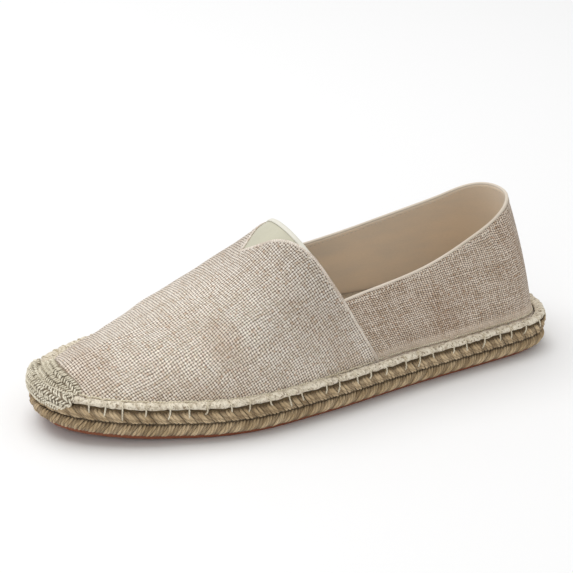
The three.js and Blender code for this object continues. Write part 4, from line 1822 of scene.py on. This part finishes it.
@dataclass
class ToeStitching:
    """The rows of thread that bind the toe, from the braid over the hem and up on the vamp."""

    last: LastForm
    reach: float = 24.0
    foot_share: float = 0.7
    rise: float = 6.9
    roundness: float = 0.75
    drop: float = 4.5
    rows: int = 10
    stitch_pitch: float = 1.75
    thread: float = 0.44
    samples: int = 28
    backing: float = 0.4
    backing_proud: float = 0.45
    threads_proud: float = 1.0
    lift: float = 0.5
    middle: Place = (100.0, -3.0, 14.0)

    def line(self, distance: float, proud: float) -> Array:
        """One line over the toe at a distance from its tip, from the braid up to the vamp.

        Args:
            distance: along the edge from the tip, positive on the outer side.
            proud: how far outside what it covers.

        Returns:
            Points, evenly spaced along the line.
        """
        last = self.last
        sole = last.sole
        side = Side.OUTER if distance >= 0 else Side.INNER
        travel = last.edge.travel_at(side, last.seam_foot)
        way = np.array([abs(distance) / travel])
        columns = last.columns(side, way, -proud)
        share = min(abs(distance) / self.reach, 1.0)
        low = last.hem_height + sole.seat_gap
        height = low + (self.rise - low) * (1 - share**2) ** self.roundness + 0.8
        start, end = (columns.angle_at(columns.foot_z + z)[0] for z in (low, height))
        along = last.distance(side, way)[0]
        down = np.array([1, 0.5, 0.05])
        drawn_in = last.distance(side, way * (1 - (1 - self.foot_share) * down))
        out = np.array([proud - 0.4, proud, proud])
        braid = last.edge.beside(drawn_in, out, sole.deck - self.drop * down)
        hem = last.hem_point(np.full(7, along), np.linspace(0, 0.8, 7) * math.pi, np.full(7, proud))
        vamp = columns.points(np.linspace(start, end, 8)[None, 1:])[0]
        rough = np.concatenate([braid, hem, vamp])
        length = travelled(rough)
        even = np.linspace(0, length[-1], self.samples)
        return np.stack([np.interp(even, length, rough[:, k]) for k in range(3)], -1)

    def build(self) -> None:
        """Builds the backing and the rows of thread."""
        distances = np.linspace(-self.reach, self.reach, 49)
        backing = np.stack([self.line(d, self.backing_proud) for d in distances])
        work = Work("toe_backing")
        # The backing is painted mostly in shade, for the gaps between the threads.
        work.sheet(backing, length_map(backing), 0.35)
        work.face_out(TOE_MIDDLE)
        work.piece(THREAD.material(), "thread", ("toe_stitching",), self.backing)
        fine = np.linspace(-self.reach, self.reach, 129)
        surface = np.stack([self.line(d, self.threads_proud) for d in fine])
        work = Work("toe_threads")
        count = round(2 * self.reach / self.stitch_pitch)
        t = np.linspace(0, 1, 7)
        swell = np.sin(math.pi * t)
        radius = closing(self.thread * np.sin(math.pi * (0.08 + 0.84 * t)) ** 0.5)
        for row in range(self.rows):
            height = (row + 0.5) / self.rows
            slant = 1 if row % 2 else -1
            for k in range(count):
                middle = (k + 0.5 + 0.5 * (row % 2) + 0.3 * jitter(k * 2.3, row)) / count
                across = middle + slant * (t - 0.5) * 1.15 / count
                up = height + ((t - 0.5) * 1.2 + 0.3 * jitter(k * 1.7, row + 0.5)) / self.rows
                i = np.clip(across, 0, 1) * (len(fine) - 1)
                j = np.clip(up, 0, 1) * (self.samples - 1)
                path = self.sample(surface, i, j)
                lift = (swell - 0.5 + 0.4 * jitter(k * 3.1, row)) * self.lift
                outward = unit(path[3] - np.array(self.middle))
                path = path + outward * lift[:, None]
                # Painted shade towards each stitch's ends.
                work.cord(path, radius, outward, shade=0.55 + 0.45 * swell)
        work.closed_piece(THREAD.material(), "thread", ("toe_stitching",))

    @staticmethod
    def sample(surface: Array, i: Array, j: Array) -> Array:
        """Points of a sheet at broken places of its two axes.

        Args:
            surface: the sheet's points, as an array of lines.
            i: places on the first axis.
            j: places on the second axis.

        Returns:
            The points.
        """
        low_i = np.clip(np.floor(i).astype(int), 0, surface.shape[0] - 2)
        low_j = np.clip(np.floor(j).astype(int), 0, surface.shape[1] - 2)
        a = (i - low_i)[:, None]
        b = (j - low_j)[:, None]
        near = surface[low_i, low_j] * (1 - b) + surface[low_i, low_j + 1] * b
        far = surface[low_i + 1, low_j] * (1 - b) + surface[low_i + 1, low_j + 1] * b
        return near * (1 - a) + far * a


@dataclass
class Studio:
    """The floor, the soft light and the camera."""

    azimuth: float = 30.5
    elevation: float = 25.35
    distance: float = 916.3
    focal_pixels: float = 1918.9
    frame_pixels: float = 573.0
    roll: float = 1.83
    target: Place = (3.71, -1.5, 46.6)
    sensor: float = 36.0
    room_light: float = 0.62

    def build(self) -> None:
        """Sets the floor, lights and camera."""
        self.build_floor()
        self.build_light()
        self.build_camera()

    def build_floor(self) -> None:
        """A plain white floor."""
        mesh = bmesh.new()
        bmesh.ops.create_grid(mesh, x_segments=1, y_segments=1, size=6.0)
        data = bpy.data.meshes.new("floor")
        mesh.to_mesh(data)
        mesh.free()
        floor = bpy.data.objects.new("floor", data)
        bpy.context.scene.collection.objects.link(floor)
        data.materials.append(Nodes("floor_paper").surface((0.92, 0.92, 0.92, 1), 0.9, specular=0.1))

    def build_light(self) -> None:
        """Soft light from above and behind the toe, with a white room round it."""
        world = bpy.data.worlds.new("room")
        bpy.context.scene.world = world
        world.use_nodes = True
        background = world.node_tree.nodes["Background"]
        background.inputs["Color"].default_value = (1, 1, 1, 1)
        background.inputs["Strength"].default_value = self.room_light
        for name, place, size, power in (
            ("top_light", (0.35, -0.45, 1.5), 1.6, 15.5),
            ("front_light", (0.9, 1.1, 0.9), 1.0, 2.0),
        ):
            light = bpy.data.lights.new(name, "AREA")
            light.shape = "DISK"
            light.size = size
            light.energy = power
            lamp = bpy.data.objects.new(name, light)
            lamp.location = place
            lamp.rotation_euler = (-Vector(place)).to_track_quat("-Z", "Y").to_euler()
            bpy.context.scene.collection.objects.link(lamp)
        settings = bpy.context.scene.view_settings
        settings.view_transform = "Standard"

    def build_camera(self) -> None:
        """The camera at the photo's angle."""
        azimuth, elevation, roll = (math.radians(a) for a in (self.azimuth, self.elevation, self.roll))
        flat = math.cos(elevation)
        away = Vector((math.sin(azimuth) * flat, math.cos(azimuth) * flat, math.sin(elevation)))
        data = bpy.data.cameras.new("camera")
        data.sensor_width = self.sensor
        data.lens = self.focal_pixels / self.frame_pixels * self.sensor
        data.clip_start = 0.01
        camera = bpy.data.objects.new("camera", data)
        turn = away.to_track_quat("Z", "Y").to_matrix() @ Matrix.Rotation(roll, 3, "Z")
        place = (Vector(self.target) + away * self.distance) * MM
        camera.matrix_world = Matrix.Translation(place) @ turn.to_4x4()
        bpy.context.scene.collection.objects.link(camera)
        bpy.context.scene.camera = camera


def dress_solids() -> None:
    """Gives the solids that stay in view their own finish."""
    for node, finish in (("rubber_outsole", OUTSOLE), ("insole", INSOLE)):
        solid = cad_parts[node]
        solid.data.materials.clear()
        solid.data.materials.append(finish.material())
        log.info("%s dressed", node)


def main() -> None:
    """Builds the shoe and its studio."""
    logging.basicConfig(level=logging.INFO, format="%(message)s")
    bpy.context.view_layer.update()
    last = LastForm(Edge(SoleForm()))
    Studio().build()
    Vamp(last).build()
    Quarter(last).build()
    Hem(last).build()
    JuteSole(last).build()
    ToeStitching(last).build()
    dress_solids()


if __name__ == "__main__":
    main()
